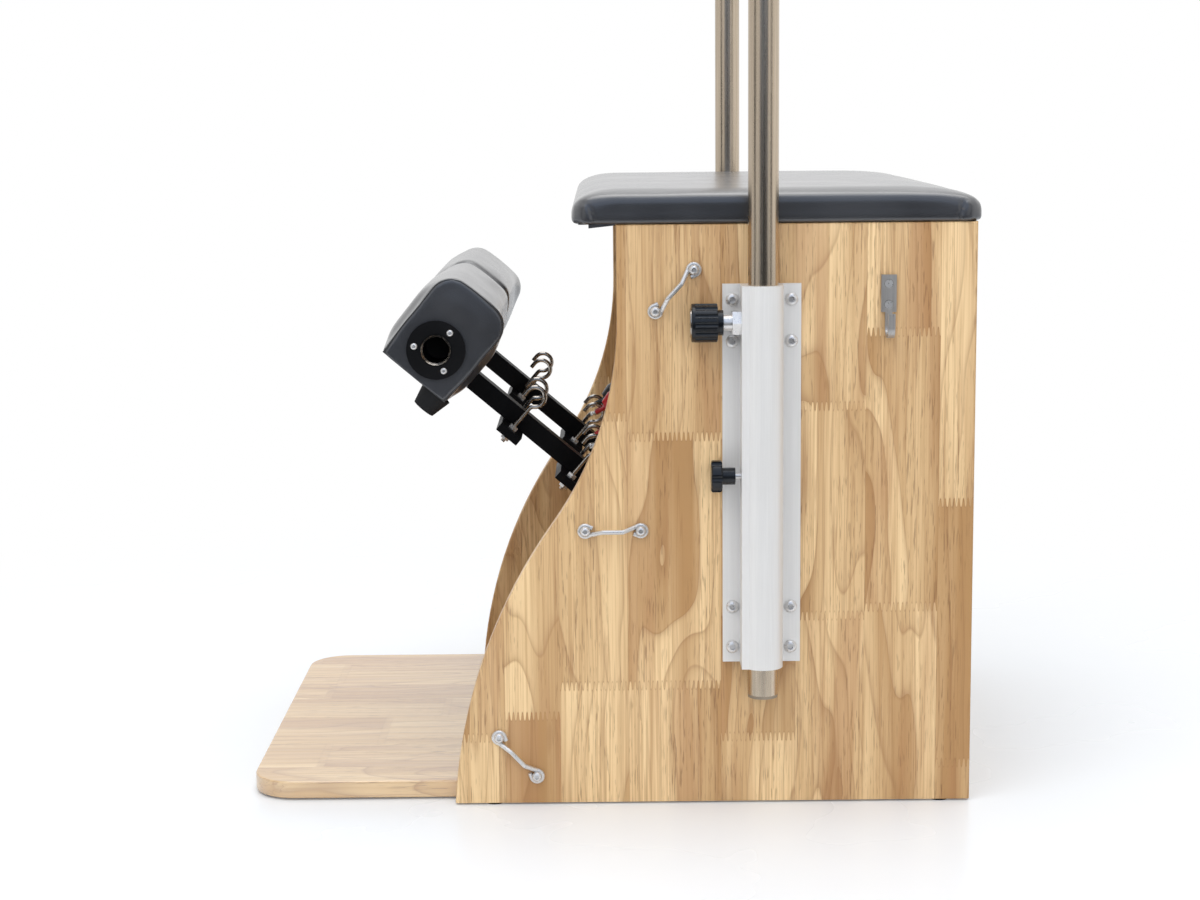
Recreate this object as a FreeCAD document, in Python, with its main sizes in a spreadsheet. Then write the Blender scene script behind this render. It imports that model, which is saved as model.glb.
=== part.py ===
import FreeCAD, Part
import math
import os
import re
from types import SimpleNamespace

import Sketcher
from FreeCAD import Placement, Rotation, Vector

# Split-pedal exercise chair: front is -Y, left is +X, the floor is z = 0, sizes in mm and degrees
SIZES = {
    # Wooden frame
    "frame_width": 574,
    "panel_thick": 20,
    "panel_height": 590,
    "panel_depth": 527,
    "panel_top_depth": 357.5,
    "front_straight": 95,
    "hollow_radius": 351,
    "swell_drop": 34,
    "swell_lead": 1.05,
    "panel_round": 2,
    "board_thick": 18,
    "board_length": 741,
    "board_corner": 46,
    "rail_thick": 20,
    "spring_rail_height": 110,
    "front_rail_height": 60,
    "front_rail_setback": 8,
    "rear_rail_height": 70,
    "foot_thick": 2,
    "foot_radius": 9,
    "foot_rear_inset": 30,
    "foot_front_inset": 40,
    # Seat
    "seat_back_overhang": 2,
    "seat_front_overhang": 43,
    "seat_side_overhang": 2,
    "seat_thick": 34,
    "seat_corner": 16,
    "seat_shoulder": 10,
    "seat_crown": 5,
    "seat_tuck": 2,
    "seat_board_thick": 12,
    "seat_wrap": 6,
    # Push-up poles and their holders
    "pole_radius": 15,
    "pole_wall": 2,
    "pole_standoff": 24,
    "pole_back": 213.8,
    "pole_below": 28,
    "pole_above": 560,
    "pole_bend": 60,
    "handle_length": 150,
    "pole_clearance": 0.08,
    "index_pitch": 50,
    "index_radius": 4.6,
    "index_below": 5,
    "index_above": 2,
    "grip_wall": 4,
    "grip_length": 130,
    "plug_lip": 3,
    "plug_depth": 18,
    "holder_height": 383,
    "holder_drop": 59,
    "holder_width": 78,
    "holder_flange": 5,
    "boss_radius": 20,
    "block_face": 14,
    "block_front": 21.8,
    "bolt_radius": 3,
    "bolt_head_radius": 6.7,
    "bolt_head_height": 4,
    "socket_share": 0.46,
    "socket_deep": 0.62,
    "bolt_spread": 58.4,
    "bolt_inset": 15.5,
    "bolt_pitch": 41.5,
    # Index plunger and clamp screw of each holder
    "plunger_drop": 36.5,
    "barrel_radius": 8,
    "barrel_show": 8.8,
    "hex_radius": 13,
    "hex_thick": 8.8,
    "pin_radius": 4,
    "pin_clearance": 0.05,
    "pin_gap": 0.4,
    "knob_radius": 19,
    "knob_length": 25.8,
    "knob_flute": 3.2,
    "collar_radius": 12.5,
    "collar_length": 5.6,
    "clamp_rise": 193.8,
    "star_radius": 16,
    "star_length": 10.9,
    "star_notch": 4,
    "hub_radius": 8.5,
    "hub_length": 12.9,
    "stud_radius": 3.2,
    "stud_show": 5.9,
    # Strap eyes and hanging hooks on the panels
    "eye_pitch": 56,
    "eye_wire": 2.35,
    "eye_loop": 5.6,
    "eye_tail": 5.4,
    "eye_rise": 8,
    "eye_head_radius": 5.2,
    "eye_head_height": 3.6,
    "upper_eye_in": 57.5,
    "upper_eye_drop": 65.3,
    "middle_eye_back": 363,
    "middle_eye_drop": 306.6,
    "lower_eye_back": 462,
    "lower_eye_height": 49.3,
    "eye_tilt": 47,
    "hanger_back": 88,
    "hanger_below": 51.5,
    "hanger_height": 37,
    "hanger_width": 15,
    "hanger_thick": 3.5,
    "hanger_reach": 24,
    "hanger_drop": 23,
    "hanger_finger": 7,
    "hanger_gap": 0.3,
    "hanger_screw_radius": 2,
    "hanger_head_radius": 4.7,
    # Pedals
    "pivot_back": 68.3,
    "pivot_height": 42,
    "pedal_rise": 40.4,
    "arm_offset": 125,
    "arm_size": 20,
    "arm_wall": 2,
    "pad_reach": 632.5,
    "pad_length": 239,
    "pad_depth": 90,
    "pad_base_depth": 81,
    "pad_height": 105,
    "pad_drop": 21.7,
    "pad_corner": 20,
    "pad_crown": 3,
    "pad_end_round": 5,
    "pedal_board_thick": 6,
    "soft_clearance": 0.4,
    "bore_radius": 15,
    "bore_wall": 1.5,
    "bore_rise": 14.7,
    "disc_radius": 30,
    "disc_thick": 3,
    "disc_screw_circle": 22.5,
    "disc_screw_radius": 1.8,
    "disc_screw_head": 3.5,
    "disc_screw_height": 2.2,
    "bumper_radius": 17,
    "bumper_tip": 12,
    "bumper_height": 21,
    "bumper_reach": 604,
    "bumper_side": 100,
    "sleeve_radius": 14,
    "sleeve_length": 100,
    "bush_radius": 10,
    "bush_length": 20,
    "bush_flange": 1.5,
    "bush_rim": 13,
    "axle_radius": 8,
    "axle_clearance": 0.05,
    "block_play": 0.5,
    "block_thick": 14,
    "block_base": 56,
    "block_foot": 8,
    "block_hump": 16,
    "block_screw_spread": 43,
    "block_screw_radius": 2.5,
    "block_screw_head": 4.5,
    "block_screw_height": 4.5,
    "block_screw_bite": 12,
    # Spring hooks and springs
    "outer_bar_reach": 516.4,
    "inner_bar_reach": 436,
    "bar_width": 27,
    "bar_thick": 9.5,
    "bar_overhang": 13,
    "hook_side": 35,
    "hook_wire": 2.3,
    "hook_stem": 28,
    "hook_radius": 10.4,
    "hook_neck": 6,
    "hook_neck_angle": 57,
    "hook_tail": 6,
    "nut_radius": 5.2,
    "nut_thick": 4,
    "stud_tail": 3,
    "anchor_drop": 45,
    "anchor_reach": 22,
    "anchor_bite": 16,
    "link_wire": 1.5,
    "link_half": 5.5,
    "link_corner": 3,
    "link_length": 18,
    "link_gap": 0.3,
    "hook_slack": 3.5,
    "cap_radius": 13,
    "cap_tip": 7.5,
    "cap_cone": 11,
    "cap_rim": 8,
    "coil_radius": 10.2,
    "coil_wire": 1.6,
    "coil_turns": 23,
    "coil_lead": 9,
}

LEFT = 1
RIGHT = -1
SIDES = {"left": LEFT, "right": RIGHT}
KNOB_FLUTES = 14
STAR_LOBES = 6
TO_RIGHT_HAND_X = Rotation(Vector(0, 1, 0), 90)
TO_FRONT = Rotation(Vector(1, 0, 0), 90)
TO_BACK = Rotation(Vector(1, 0, 0), -90)
UPRIGHT = Rotation()

doc = FreeCAD.newDocument("pilates_chair")
sheet = doc.addObject("Spreadsheet::Sheet", "dims")
for row, (alias, value) in enumerate(SIZES.items(), start=1):
    sheet.set(f"A{row}", alias.replace("_", " "))
    sheet.set(f"B{row}", str(value))
    sheet.setAlias(f"B{row}", alias)
doc.recompute()
d = SimpleNamespace(**{alias: float(sheet.get(alias)) for alias in SIZES})
NODES = []


# Helpers for objects that take their sizes from the sheet
def bind(obj, prop, formula):
    """Tie a property to the sheet: the bare words of the formula are its cells."""
    def cell(word):
        return f"dims.{word.group()}" if word.group() in SIZES else word.group()
    obj.setExpression(prop, re.sub(r"[a-z][a-z_]*", cell, formula))


def at(x, y, z, turn=UPRIGHT):
    return Placement(Vector(x, y, z), turn)


def node(obj, name):
    """Mark an object as a finished piece under its own name."""
    obj.Label = name
    NODES.append(obj)
    return obj


def box(name, length, width, height, place):
    obj = doc.addObject("Part::Box", name)
    bind(obj, "Length", length)
    bind(obj, "Width", width)
    bind(obj, "Height", height)
    obj.Placement = place
    return obj


def rod(name, radius, height, place):
    obj = doc.addObject("Part::Cylinder", name)
    bind(obj, "Radius", radius)
    bind(obj, "Height", height)
    obj.Placement = place
    return obj


def cone(name, base, tip, height, place):
    obj = doc.addObject("Part::Cone", name)
    bind(obj, "Radius1", base)
    bind(obj, "Radius2", tip)
    bind(obj, "Height", height)
    obj.Placement = place
    return obj


def prism(name, radius, height, place):
    obj = doc.addObject("Part::Prism", name)
    obj.Polygon = 6
    bind(obj, "Circumradius", radius)
    bind(obj, "Height", height)
    obj.Placement = place
    return obj


def fuse(name, pieces):
    obj = doc.addObject("Part::MultiFuse", name)
    obj.Shapes = pieces
    return obj


def cut(name, base, tools):
    obj = doc.addObject("Part::Cut", name)
    obj.Base = base
    obj.Tool = tools[0] if len(tools) == 1 else fuse(name + "_tools", tools)
    return obj


def group(name, master, places):
    """Copies of one master piece, as separate solids of one node."""
    doc.recompute()
    solids = []
    for place in places:
        for solid in master.Shape.Solids:
            copy = solid.copy()
            copy.Placement = place.multiply(copy.Placement)
            solids.append(copy)
    return node(loose(name, Part.makeCompound(solids)), name)


def loose(name, shape):
    obj = doc.addObject("Part::Feature", name)
    obj.Shape = shape
    return obj


def new_body(name, place=None):
    body = doc.addObject("PartDesign::Body", name)
    body.Placement = place or Placement()
    return body


def sketch_on(body, role):
    """A sketch on one of the body's own origin planes."""
    sketch = body.newObject("Sketcher::SketchObject", body.Name + "_sketch")
    plane = next(f for f in body.Origin.OriginFeatures if f.Role == role)
    sketch.AttachmentSupport = (plane, [""])
    sketch.MapMode = "FlatFace"
    return sketch


def outline(sketch, points):
    """Closed run of lines; a pair (via, end) draws an arc through via."""
    start = points[0]
    for item in points[1:] + points[:1]:
        if isinstance(item, tuple):
            via, end = item
            sketch.addGeometry(Part.Arc(start, via, end), False)
        else:
            end = item
            if start.distanceToPoint(end) > 1e-6:
                sketch.addGeometry(Part.LineSegment(start, end), False)
        start = end


def circle(sketch, x, y, radius):
    """A circle whose radius constraint follows the sheet."""
    index = sketch.addGeometry(Part.Circle(Vector(x, y, 0), Vector(0, 0, 1), 1.0), False)
    number = sketch.addConstraint(Sketcher.Constraint("Radius", index, 1.0))
    bind(sketch, f"Constraints[{number}]", radius)


def pad(body, sketch, length, symmetric=False, reverse=False):
    feature = body.newObject("PartDesign::Pad", body.Name + "_pad")
    feature.Profile = sketch
    bind(feature, "Length", length)
    if symmetric:
        feature.SideType = "Symmetric"
    feature.Reversed = reverse
    return feature


def pocket(body, sketch, length="", reverse=False):
    """Cut a sketch through the body, or to a depth, and test that it took material."""
    doc.recompute()
    before = body.Shape.Volume
    feature = body.newObject("PartDesign::Pocket", body.Name + "_pocket")
    feature.Profile = sketch
    if length:
        bind(feature, "Length", length)
        feature.Reversed = reverse
    else:
        feature.Type = "ThroughAll"
        feature.SideType = "Symmetric"
    doc.recompute()
    if body.Shape.Volume > before - 1e-3:
        raise RuntimeError(f"{body.Name}: a pocket took nothing away")
    return feature


def polar(body, feature, role, count):
    """Repeat a feature about one of the body's own axes."""
    pattern = body.newObject("PartDesign::PolarPattern", body.Name + "_round")
    pattern.Originals = [feature]
    axis = next(f for f in body.Origin.OriginFeatures if f.Role == role)
    pattern.Axis = (axis, [""])
    pattern.Angle = 360
    pattern.Occurrences = count
    body.Tip = pattern
    return pattern


def fillet(body, radius, pick):
    """Round the edges that a test on the edge picks out."""
    doc.recompute()
    names = [f"Edge{i}" for i, edge in enumerate(body.Shape.Edges, start=1) if pick(edge)]
    feature = body.newObject("PartDesign::Fillet", body.Name + "_fillet")
    feature.Base = (body.Group[-2], names)
    bind(feature, "Radius", radius)
    return feature


def turned(name, points):
    """A turned piece: a closed outline of (radius, height) about its own upright axis."""
    body = new_body(name)
    sketch = sketch_on(body, "XZ_Plane")
    outline(sketch, [tuple(Vector(*p, 0) for p in item) if isinstance(item[0], tuple)
                     else Vector(*item, 0) for item in points])
    feature = body.newObject("PartDesign::Revolution", name + "_turn")
    feature.Profile = sketch
    feature.ReferenceAxis = (sketch, ["V_Axis"])
    feature.Angle = 360
    return body


def socketed(name, blank, head, rise, top):
    """A screw with a hexagon socket in its head; head and rise name the head's radius and height."""
    depth = getattr(d, rise) * d.socket_deep
    recess = prism(f"{name}_recess", f"{head} * socket_share", f"{rise} * socket_deep", at(0, 0, top - depth))
    return cut(f"{name}_socketed", blank, [recess])


def button_screw(name, radius, length, head, rise):
    """Domed socket screw: its head stands on z = 0 and its shank runs down."""
    head_radius = getattr(d, head)
    head_height = getattr(d, rise)
    flat = head_radius * 0.45
    via = (head_radius * 0.82, head_height * 0.68)
    blank = turned(name, [(0, -length), (radius, -length), (radius, 0), (head_radius, 0),
                          (via, (flat, head_height)), (0, head_height)])
    return socketed(name, blank, head, rise, head_height)


def strip_solid(edges, width, thick):
    """A flat strip along a path that starts downward in the XZ plane; its width lies along Y."""
    start = edges[0].valueAt(edges[0].FirstParameter)
    corners = [start + Vector(sx * thick / 2, sy * width / 2, 0) for sx, sy in ((-1, -1), (1, -1), (1, 1), (-1, 1))]
    section = Part.makePolygon(corners + corners[:1])
    return Part.Wire(edges).makePipeShell([section], True, False)


def rounded_path(points, radius):
    """Lines through the points, with a tangent arc at each inner corner."""
    edges = []
    start = points[0]
    for before, corner, after in zip(points, points[1:], points[2:]):
        back = (before - corner).normalize()
        ahead = (after - corner).normalize()
        half = back.getAngle(ahead) / 2
        middle = (back + ahead).normalize()
        enter = corner + back * (radius / math.tan(half))
        leave = corner + ahead * (radius / math.tan(half))
        via = corner + middle * (radius / math.sin(half) - radius)
        edges.append(Part.makeLine(start, enter))
        edges.append(Part.Arc(enter, via, leave).toShape())
        start = leave
    edges.append(Part.makeLine(start, points[-1]))
    return edges


def wire_solid(edges, radius):
    """Round wire bent along a chain of edges."""
    first = edges[0]
    start = first.valueAt(first.FirstParameter)
    along = first.tangentAt(first.FirstParameter)
    ring = Part.Wire(Part.makeCircle(radius, start, along))
    return Part.Wire(edges).makePipeShell([ring], True, False)


# Places shared by several pieces
rear = (d.board_length - d.seat_back_overhang) / 2
half_width = d.frame_width / 2
inner_half = half_width - d.panel_thick
floor_gap = d.foot_thick
panel_top = floor_gap + d.panel_height
front_top = rear - d.panel_top_depth
board_top = floor_gap + d.board_thick
pole_y = rear - d.pole_back
holder_high = panel_top - d.holder_drop
holder_low = holder_high - d.holder_height
plunger_z = holder_high - d.plunger_drop
clamp_z = holder_low + d.clamp_rise
pivot = Vector(0, rear - d.pivot_back, floor_gap + d.pivot_height)
anchor = Vector(0, rear - d.rail_thick - d.anchor_reach, panel_top - d.anchor_drop)
arm_half = d.arm_size / 2
bar_top = -arm_half


def pole_x(side):
    return side * (half_width + d.pole_standoff)


def pedal_frame(side):
    """Frame of one pedal: origin on the axle, arm along -Y before it is swung up."""
    return at(side * d.arm_offset, pivot.y, pivot.z, Rotation(Vector(1, 0, 0), -d.pedal_rise))


def holder_bolt_places():
    """(y, z) of the eight bolts of one pole holder."""
    rows = [holder_low + d.bolt_inset, holder_low + d.bolt_inset + d.bolt_pitch,
            holder_high - d.bolt_inset - d.bolt_pitch, holder_high - d.bolt_inset]
    return [(pole_y + s * d.bolt_spread / 2, z) for z in rows for s in (-1, 1)]


def eye_places():
    """(y, z, tilt) of the three strap eyes of one panel, from the top."""
    return [(front_top + d.upper_eye_in, panel_top - d.upper_eye_drop, d.eye_tilt),
            (rear - d.middle_eye_back, panel_top - d.middle_eye_drop, 0),
            (rear - d.lower_eye_back, floor_gap + d.lower_eye_height, -d.eye_tilt)]


def eye_bolt_places():
    """(y, z) of the two bolts of each strap eye of one panel."""
    places = []
    for y, z, tilt in eye_places():
        for s in (-1, 1):
            turn = math.radians(tilt)
            places.append((y + s * d.eye_pitch / 2 * math.cos(turn), z + s * d.eye_pitch / 2 * math.sin(turn)))
    return places


def hanger_screw_places():
    """(y, z) of the two screws of one hanging hook."""
    top = panel_top - d.hanger_below
    return [(rear - d.hanger_back, top - d.hanger_height * f) for f in (0.24, 0.8)]


# Side panels: a straight front edge that hollows and then swells to the foot
def panel_outline():
    top_y = front_top
    bend_z = d.panel_height - d.front_straight
    swell_y = rear - d.panel_depth - d.swell_lead
    hollow = Vector(top_y - d.hollow_radius, bend_z, 0)
    rise = bend_z + d.swell_drop
    run = swell_y - hollow.x
    swell_radius = (run ** 2 + rise ** 2 - d.hollow_radius ** 2) / (2 * (d.hollow_radius - run))
    swell = Vector(swell_y + swell_radius, -d.swell_drop, 0)
    toward = (swell - hollow).normalize()
    join = hollow + toward * d.hollow_radius
    join_angle = math.atan2(toward.y, toward.x)
    hollow_via = hollow + Vector(math.cos(join_angle / 2), math.sin(join_angle / 2), 0) * d.hollow_radius
    foot = Vector(swell.x - math.sqrt(swell_radius ** 2 - d.swell_drop ** 2), 0, 0)
    middle = ((join - swell).normalize() + (foot - swell).normalize()).normalize()
    swell_via = swell + middle * swell_radius
    return [Vector(rear, 0, 0), Vector(rear, d.panel_height, 0), Vector(top_y, d.panel_height, 0),
            Vector(top_y, bend_z, 0), (hollow_via, join), (swell_via, foot)]


def side_panel(name, side):
    low_x = inner_half if side == LEFT else -half_width
    body = new_body(name, at(low_x, 0, floor_gap))
    profile = sketch_on(body, "YZ_Plane")
    outline(profile, panel_outline())
    pad(body, profile, "panel_thick")
    fillet(body, "panel_round", lambda e: abs(e.BoundBox.XLength) < 1e-6 and e.BoundBox.ZMax > floor_gap + 1)
    holes = sketch_on(body, "YZ_Plane")
    for y, z in holder_bolt_places() + eye_bolt_places():
        circle(holes, y, z - floor_gap, "bolt_radius")
    for y, z in hanger_screw_places():
        circle(holes, y, z - floor_gap, "hanger_screw_radius")
    pocket(body, holes)
    node(body, name)


def block_centres():
    """x of the four axle blocks."""
    reach = d.sleeve_length / 2 + d.bush_flange + d.block_play + d.block_thick / 2
    return [side * d.arm_offset + s * reach for side in (LEFT, RIGHT) for s in (-1, 1)]


def block_screw_places():
    """(x, y) of the eight axle block screws."""
    return [(x, pivot.y + s * d.block_screw_spread / 2) for x in block_centres() for s in (-1, 1)]


def base_board():
    body = new_body("base_board", at(0, 0, floor_gap))
    profile = sketch_on(body, "XY_Plane")
    front = rear - d.board_length
    corner = d.board_corner
    knee = corner * (1 - math.sqrt(0.5))
    outline(profile, [
        Vector(inner_half, rear, 0), Vector(-inner_half, rear, 0), Vector(-inner_half, front + corner, 0),
        (Vector(-inner_half + knee, front + knee, 0), Vector(-inner_half + corner, front, 0)),
        Vector(inner_half - corner, front, 0),
        (Vector(inner_half - knee, front + knee, 0), Vector(inner_half, front + corner, 0))])
    pad(body, profile, "board_thick")
    fillet(body, "panel_round", lambda e: e.BoundBox.ZLength < 1e-6 and e.BoundBox.YMin < -inner_half)
    holes = sketch_on(body, "XY_Plane")
    for x, y in block_screw_places():
        circle(holes, x, y, "block_screw_radius")
    pocket(body, holes)
    node(body, "base_board")


# Cross rails: the rear top one carries the spring anchors
def rails():
    span = "frame_width - 2 * panel_thick"
    node(box("front_rail", span, "rail_thick", "front_rail_height",
             at(-inner_half, front_top + d.front_rail_setback, panel_top - d.front_rail_height)), "front_rail")
    node(box("rear_rail", span, "rail_thick", "rear_rail_height",
             at(-inner_half, rear - d.rail_thick, board_top)), "rear_rail")
    blank = box("spring_rail_blank", span, "rail_thick", "spring_rail_height",
                at(-inner_half, rear - d.rail_thick, panel_top - d.spring_rail_height))
    drills = [rod(f"anchor_drill_{i}", "hook_wire", "anchor_bite", at(x, rear - d.rail_thick, anchor.z, TO_BACK))
              for i, x in enumerate(spring_places())]
    node(cut("spring_rail", blank, drills), "spring_rail")


def feet():
    master = rod("foot_master", "foot_radius", "foot_thick", Placement())
    panel_x = half_width - d.panel_thick / 2
    front = rear - d.board_length
    last = rear - d.foot_rear_inset
    spots = [(s * panel_x, y) for s in (-1, 1) for y in (last, rear - d.panel_depth + d.foot_front_inset)]
    spots += [(s * inner_half * 0.8, front + d.foot_front_inset) for s in (-1, 0, 1)]
    spots += [(0, last)]
    group("rubber_feet", master, [at(x, y, 0) for x, y in spots])


# Seat: a board wrapped in a crowned cushion
def ring_wire(half_x, low_y, high_y, corner, z):
    """Rounded rectangle at one height."""
    k = corner * (1 - math.sqrt(0.5))
    x = half_x
    points = [Vector(x - corner, low_y, z), Vector(x - k, low_y + k, z), Vector(x, low_y + corner, z),
              Vector(x, high_y - corner, z), Vector(x - k, high_y - k, z), Vector(x - corner, high_y, z),
              Vector(corner - x, high_y, z), Vector(k - x, high_y - k, z), Vector(-x, high_y - corner, z),
              Vector(-x, low_y + corner, z), Vector(k - x, low_y + k, z), Vector(corner - x, low_y, z)]
    edges = []
    for i in range(0, 12, 3):
        edges.append(Part.Arc(points[i], points[i + 1], points[i + 2]).toShape())
        edges.append(Part.makeLine(points[i + 2], points[(i + 3) % 12]))
    return Part.Wire(edges)


def seat():
    low = front_top - d.seat_front_overhang
    high = rear + d.seat_back_overhang
    half = half_width + d.seat_side_overhang
    wrap = d.seat_wrap
    board = box("seat_board", "frame_width + 2 * seat_side_overhang - 2 * seat_wrap",
                "panel_top_depth + seat_front_overhang + seat_back_overhang - 2 * seat_wrap",
                "seat_board_thick", at(wrap - half, low + wrap, panel_top))
    node(board, "seat_board")
    # Sections from the drawn-in hem over the side and shoulder to the crown
    shoulder_z = d.seat_thick - d.seat_crown - d.seat_shoulder
    profile = [(0, d.seat_tuck), (shoulder_z * 0.35, d.seat_tuck * 0.25), (shoulder_z * 0.7, 0)]
    for step in range(5):
        turn = math.radians(22.5 * step)
        profile.append((shoulder_z + d.seat_shoulder * math.sin(turn), d.seat_shoulder * (1 - math.cos(turn))))
    crown_in = (high - low) / 4
    profile += [(d.seat_thick - d.seat_crown * 0.35, crown_in * 0.4), (d.seat_thick, crown_in)]
    wires = []
    for height, inset in profile:
        wires.append(ring_wire(half - inset, low + inset, high - inset, d.seat_corner + inset * 0.6,
                               panel_top + height))
    form = loose("seat_form", Part.makeLoft(wires, True, True))
    room = box("seat_room", "frame_width + 2 * seat_side_overhang - 2 * seat_wrap",
               "panel_top_depth + seat_front_overhang + seat_back_overhang - 2 * seat_wrap",
               "seat_board_thick", at(wrap - half, low + wrap, panel_top))
    node(cut("seat_cushion", form, [room]), "seat_cushion")


# Pole holder: an extrusion with a flange, a round boss and a flat block for the two knobs
def pole_holder(name, side):
    body = new_body(name + "_blank", at(side * half_width, pole_y, holder_low))
    profile = sketch_on(body, "XY_Plane")
    axis = d.pole_standoff
    half = d.holder_width / 2
    top = axis + d.block_face
    meet = -math.sqrt(d.boss_radius ** 2 - d.block_face ** 2)
    crest = math.radians(45)

    def spot(out, along):
        return Vector(side * out, along, 0)

    outline(profile, [
        spot(0, -half), spot(d.holder_flange, -half), spot(d.holder_flange, -d.block_front),
        spot(top, -d.block_front), spot(top, meet),
        (spot(axis + d.boss_radius * math.cos(crest), d.boss_radius * math.sin(crest)), spot(axis, d.boss_radius)),
        spot(d.holder_flange, d.boss_radius), spot(d.holder_flange, half), spot(0, half)])
    circle(profile, side * axis, 0, "pole_radius + pole_clearance")
    pad(body, profile, "holder_height")
    holes = sketch_on(body, "YZ_Plane")
    for y, z in holder_bolt_places():
        circle(holes, y - pole_y, z - holder_low, "bolt_radius")
    pocket(body, holes)
    taps = [("barrel_radius", plunger_z), ("stud_radius + pin_clearance", clamp_z)]
    drills = [rod(f"{name}_tap_{i}", radius, "block_front + 1", at(pole_x(side), pole_y, z, TO_FRONT))
              for i, (radius, z) in enumerate(taps)]
    node(cut(name + "_tapped", body, drills), name)


def holder_bolts():
    length = d.holder_flange + d.panel_thick
    master = button_screw("holder_bolt", d.bolt_radius, length, "bolt_head_radius", "bolt_head_height")
    face = half_width + d.holder_flange
    group("holder_bolts", master, [at(side * face, y, z, Rotation(Vector(0, 1, 0), 90 * side))
                                   for side in (LEFT, RIGHT) for y, z in holder_bolt_places()])


# Index plunger: a threaded barrel with its hexagon, and the pin with its fluted knob
def plunger_barrels():
    bodies = []
    face = pole_y - d.block_front
    inner = pole_y - d.pole_radius - 1
    outer_length = "block_front + hex_thick + barrel_show - pole_radius - 1"
    for word, side in SIDES.items():
        x = pole_x(side)
        tube = rod(f"barrel_{word}", "barrel_radius", outer_length, at(x, inner, plunger_z, TO_FRONT))
        flat = prism(f"hexagon_{word}", "hex_radius", "hex_thick", at(x, face, plunger_z, TO_FRONT))
        way = rod(f"pin_way_{word}", "pin_radius + pin_clearance", outer_length, at(x, inner, plunger_z, TO_FRONT))
        bodies.append(cut(f"barrel_bored_{word}", fuse(f"barrel_whole_{word}", [tube, flat]), [way]))
    doc.recompute()
    solids = [solid for body in bodies for solid in body.Shape.Solids]
    node(loose("plunger_barrels", Part.makeCompound(solids)), "plunger_barrels")


def plunger(word, side):
    x = pole_x(side)
    mouth = pole_y - d.block_front - d.hex_thick - d.barrel_show
    body = new_body(f"knob_{word}", at(x, mouth, plunger_z, TO_FRONT))
    collar = sketch_on(body, "XY_Plane")
    circle(collar, 0, 0, "collar_radius")
    pad(body, collar, "collar_length + 1")
    wheel = sketch_on(body, "XY_Plane")
    wheel.AttachmentOffset = at(0, 0, d.collar_length)
    circle(wheel, 0, 0, "knob_radius")
    pad(body, wheel, "knob_length")
    fillet(body, "collar_length / 4", lambda e: e.Curve.TypeId == "Part::GeomCircle"
           and abs(e.Curve.Radius - d.knob_radius) < 1e-6)
    notch = sketch_on(body, "XY_Plane")
    notch.AttachmentOffset = at(0, 0, d.collar_length)
    circle(notch, d.knob_radius + d.knob_flute * 0.55, 0, "knob_flute")
    flute = pocket(body, notch, "knob_length * 0.86", True)
    polar(body, flute, "Z_Axis", KNOB_FLUTES)
    barrel_room = rod(f"barrel_room_{word}", "barrel_radius + 0.35", "barrel_show + 0.6",
                      at(x, mouth, plunger_z, TO_FRONT))
    pin_room = rod(f"pin_room_{word}", "pin_radius", "collar_length + knob_length * 0.6",
                   at(x, mouth, plunger_z, TO_FRONT))
    node(cut(f"plunger_knob_{word}_bored", body, [barrel_room, pin_room]), f"plunger_knob_{word}")
    tip = pole_y - d.pole_radius - d.pin_gap
    pin = rod(f"pin_{word}", "pin_radius", "1", at(x, tip, plunger_z, TO_FRONT))
    bind(pin, "Height", "block_front + hex_thick + barrel_show + collar_length + knob_length * 0.6"
                        " - pole_radius - pin_gap")
    node(pin, f"plunger_pin_{word}")


# Clamp screw: a star head and hub on a steel stud
def clamp(word, side):
    x = pole_x(side)
    hub_end = pole_y - d.block_front - d.stud_show
    body = new_body(f"star_{word}", at(x, hub_end, clamp_z, TO_FRONT))
    hub = sketch_on(body, "XY_Plane")
    circle(hub, 0, 0, "hub_radius")
    pad(body, hub, "hub_length + 1")
    star = sketch_on(body, "XY_Plane")
    star.AttachmentOffset = at(0, 0, d.hub_length)
    circle(star, 0, 0, "star_radius")
    pad(body, star, "star_length")
    fillet(body, "star_length / 5", lambda e: e.Curve.TypeId == "Part::GeomCircle"
           and abs(e.Curve.Radius - d.star_radius) < 1e-6)
    notch = sketch_on(body, "XY_Plane")
    notch.AttachmentOffset = at(0, 0, d.hub_length)
    circle(notch, d.star_radius + d.star_notch * 0.2, 0, "star_notch")
    polar(body, pocket(body, notch, "star_length + 1", True), "Z_Axis", STAR_LOBES)
    stud_room = rod(f"stud_room_{word}", "stud_radius", "hub_length * 0.8", at(x, hub_end, clamp_z, TO_FRONT))
    node(cut(f"clamp_knob_{word}_bored", body, [stud_room]), f"clamp_knob_{word}")
    tip = pole_y - d.pole_radius - d.pin_gap
    stud = rod(f"stud_{word}", "stud_radius", "block_front + stud_show + hub_length * 0.8 - pole_radius - pin_gap",
               at(x, tip, clamp_z, TO_FRONT))
    node(stud, f"clamp_stud_{word}")


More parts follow.
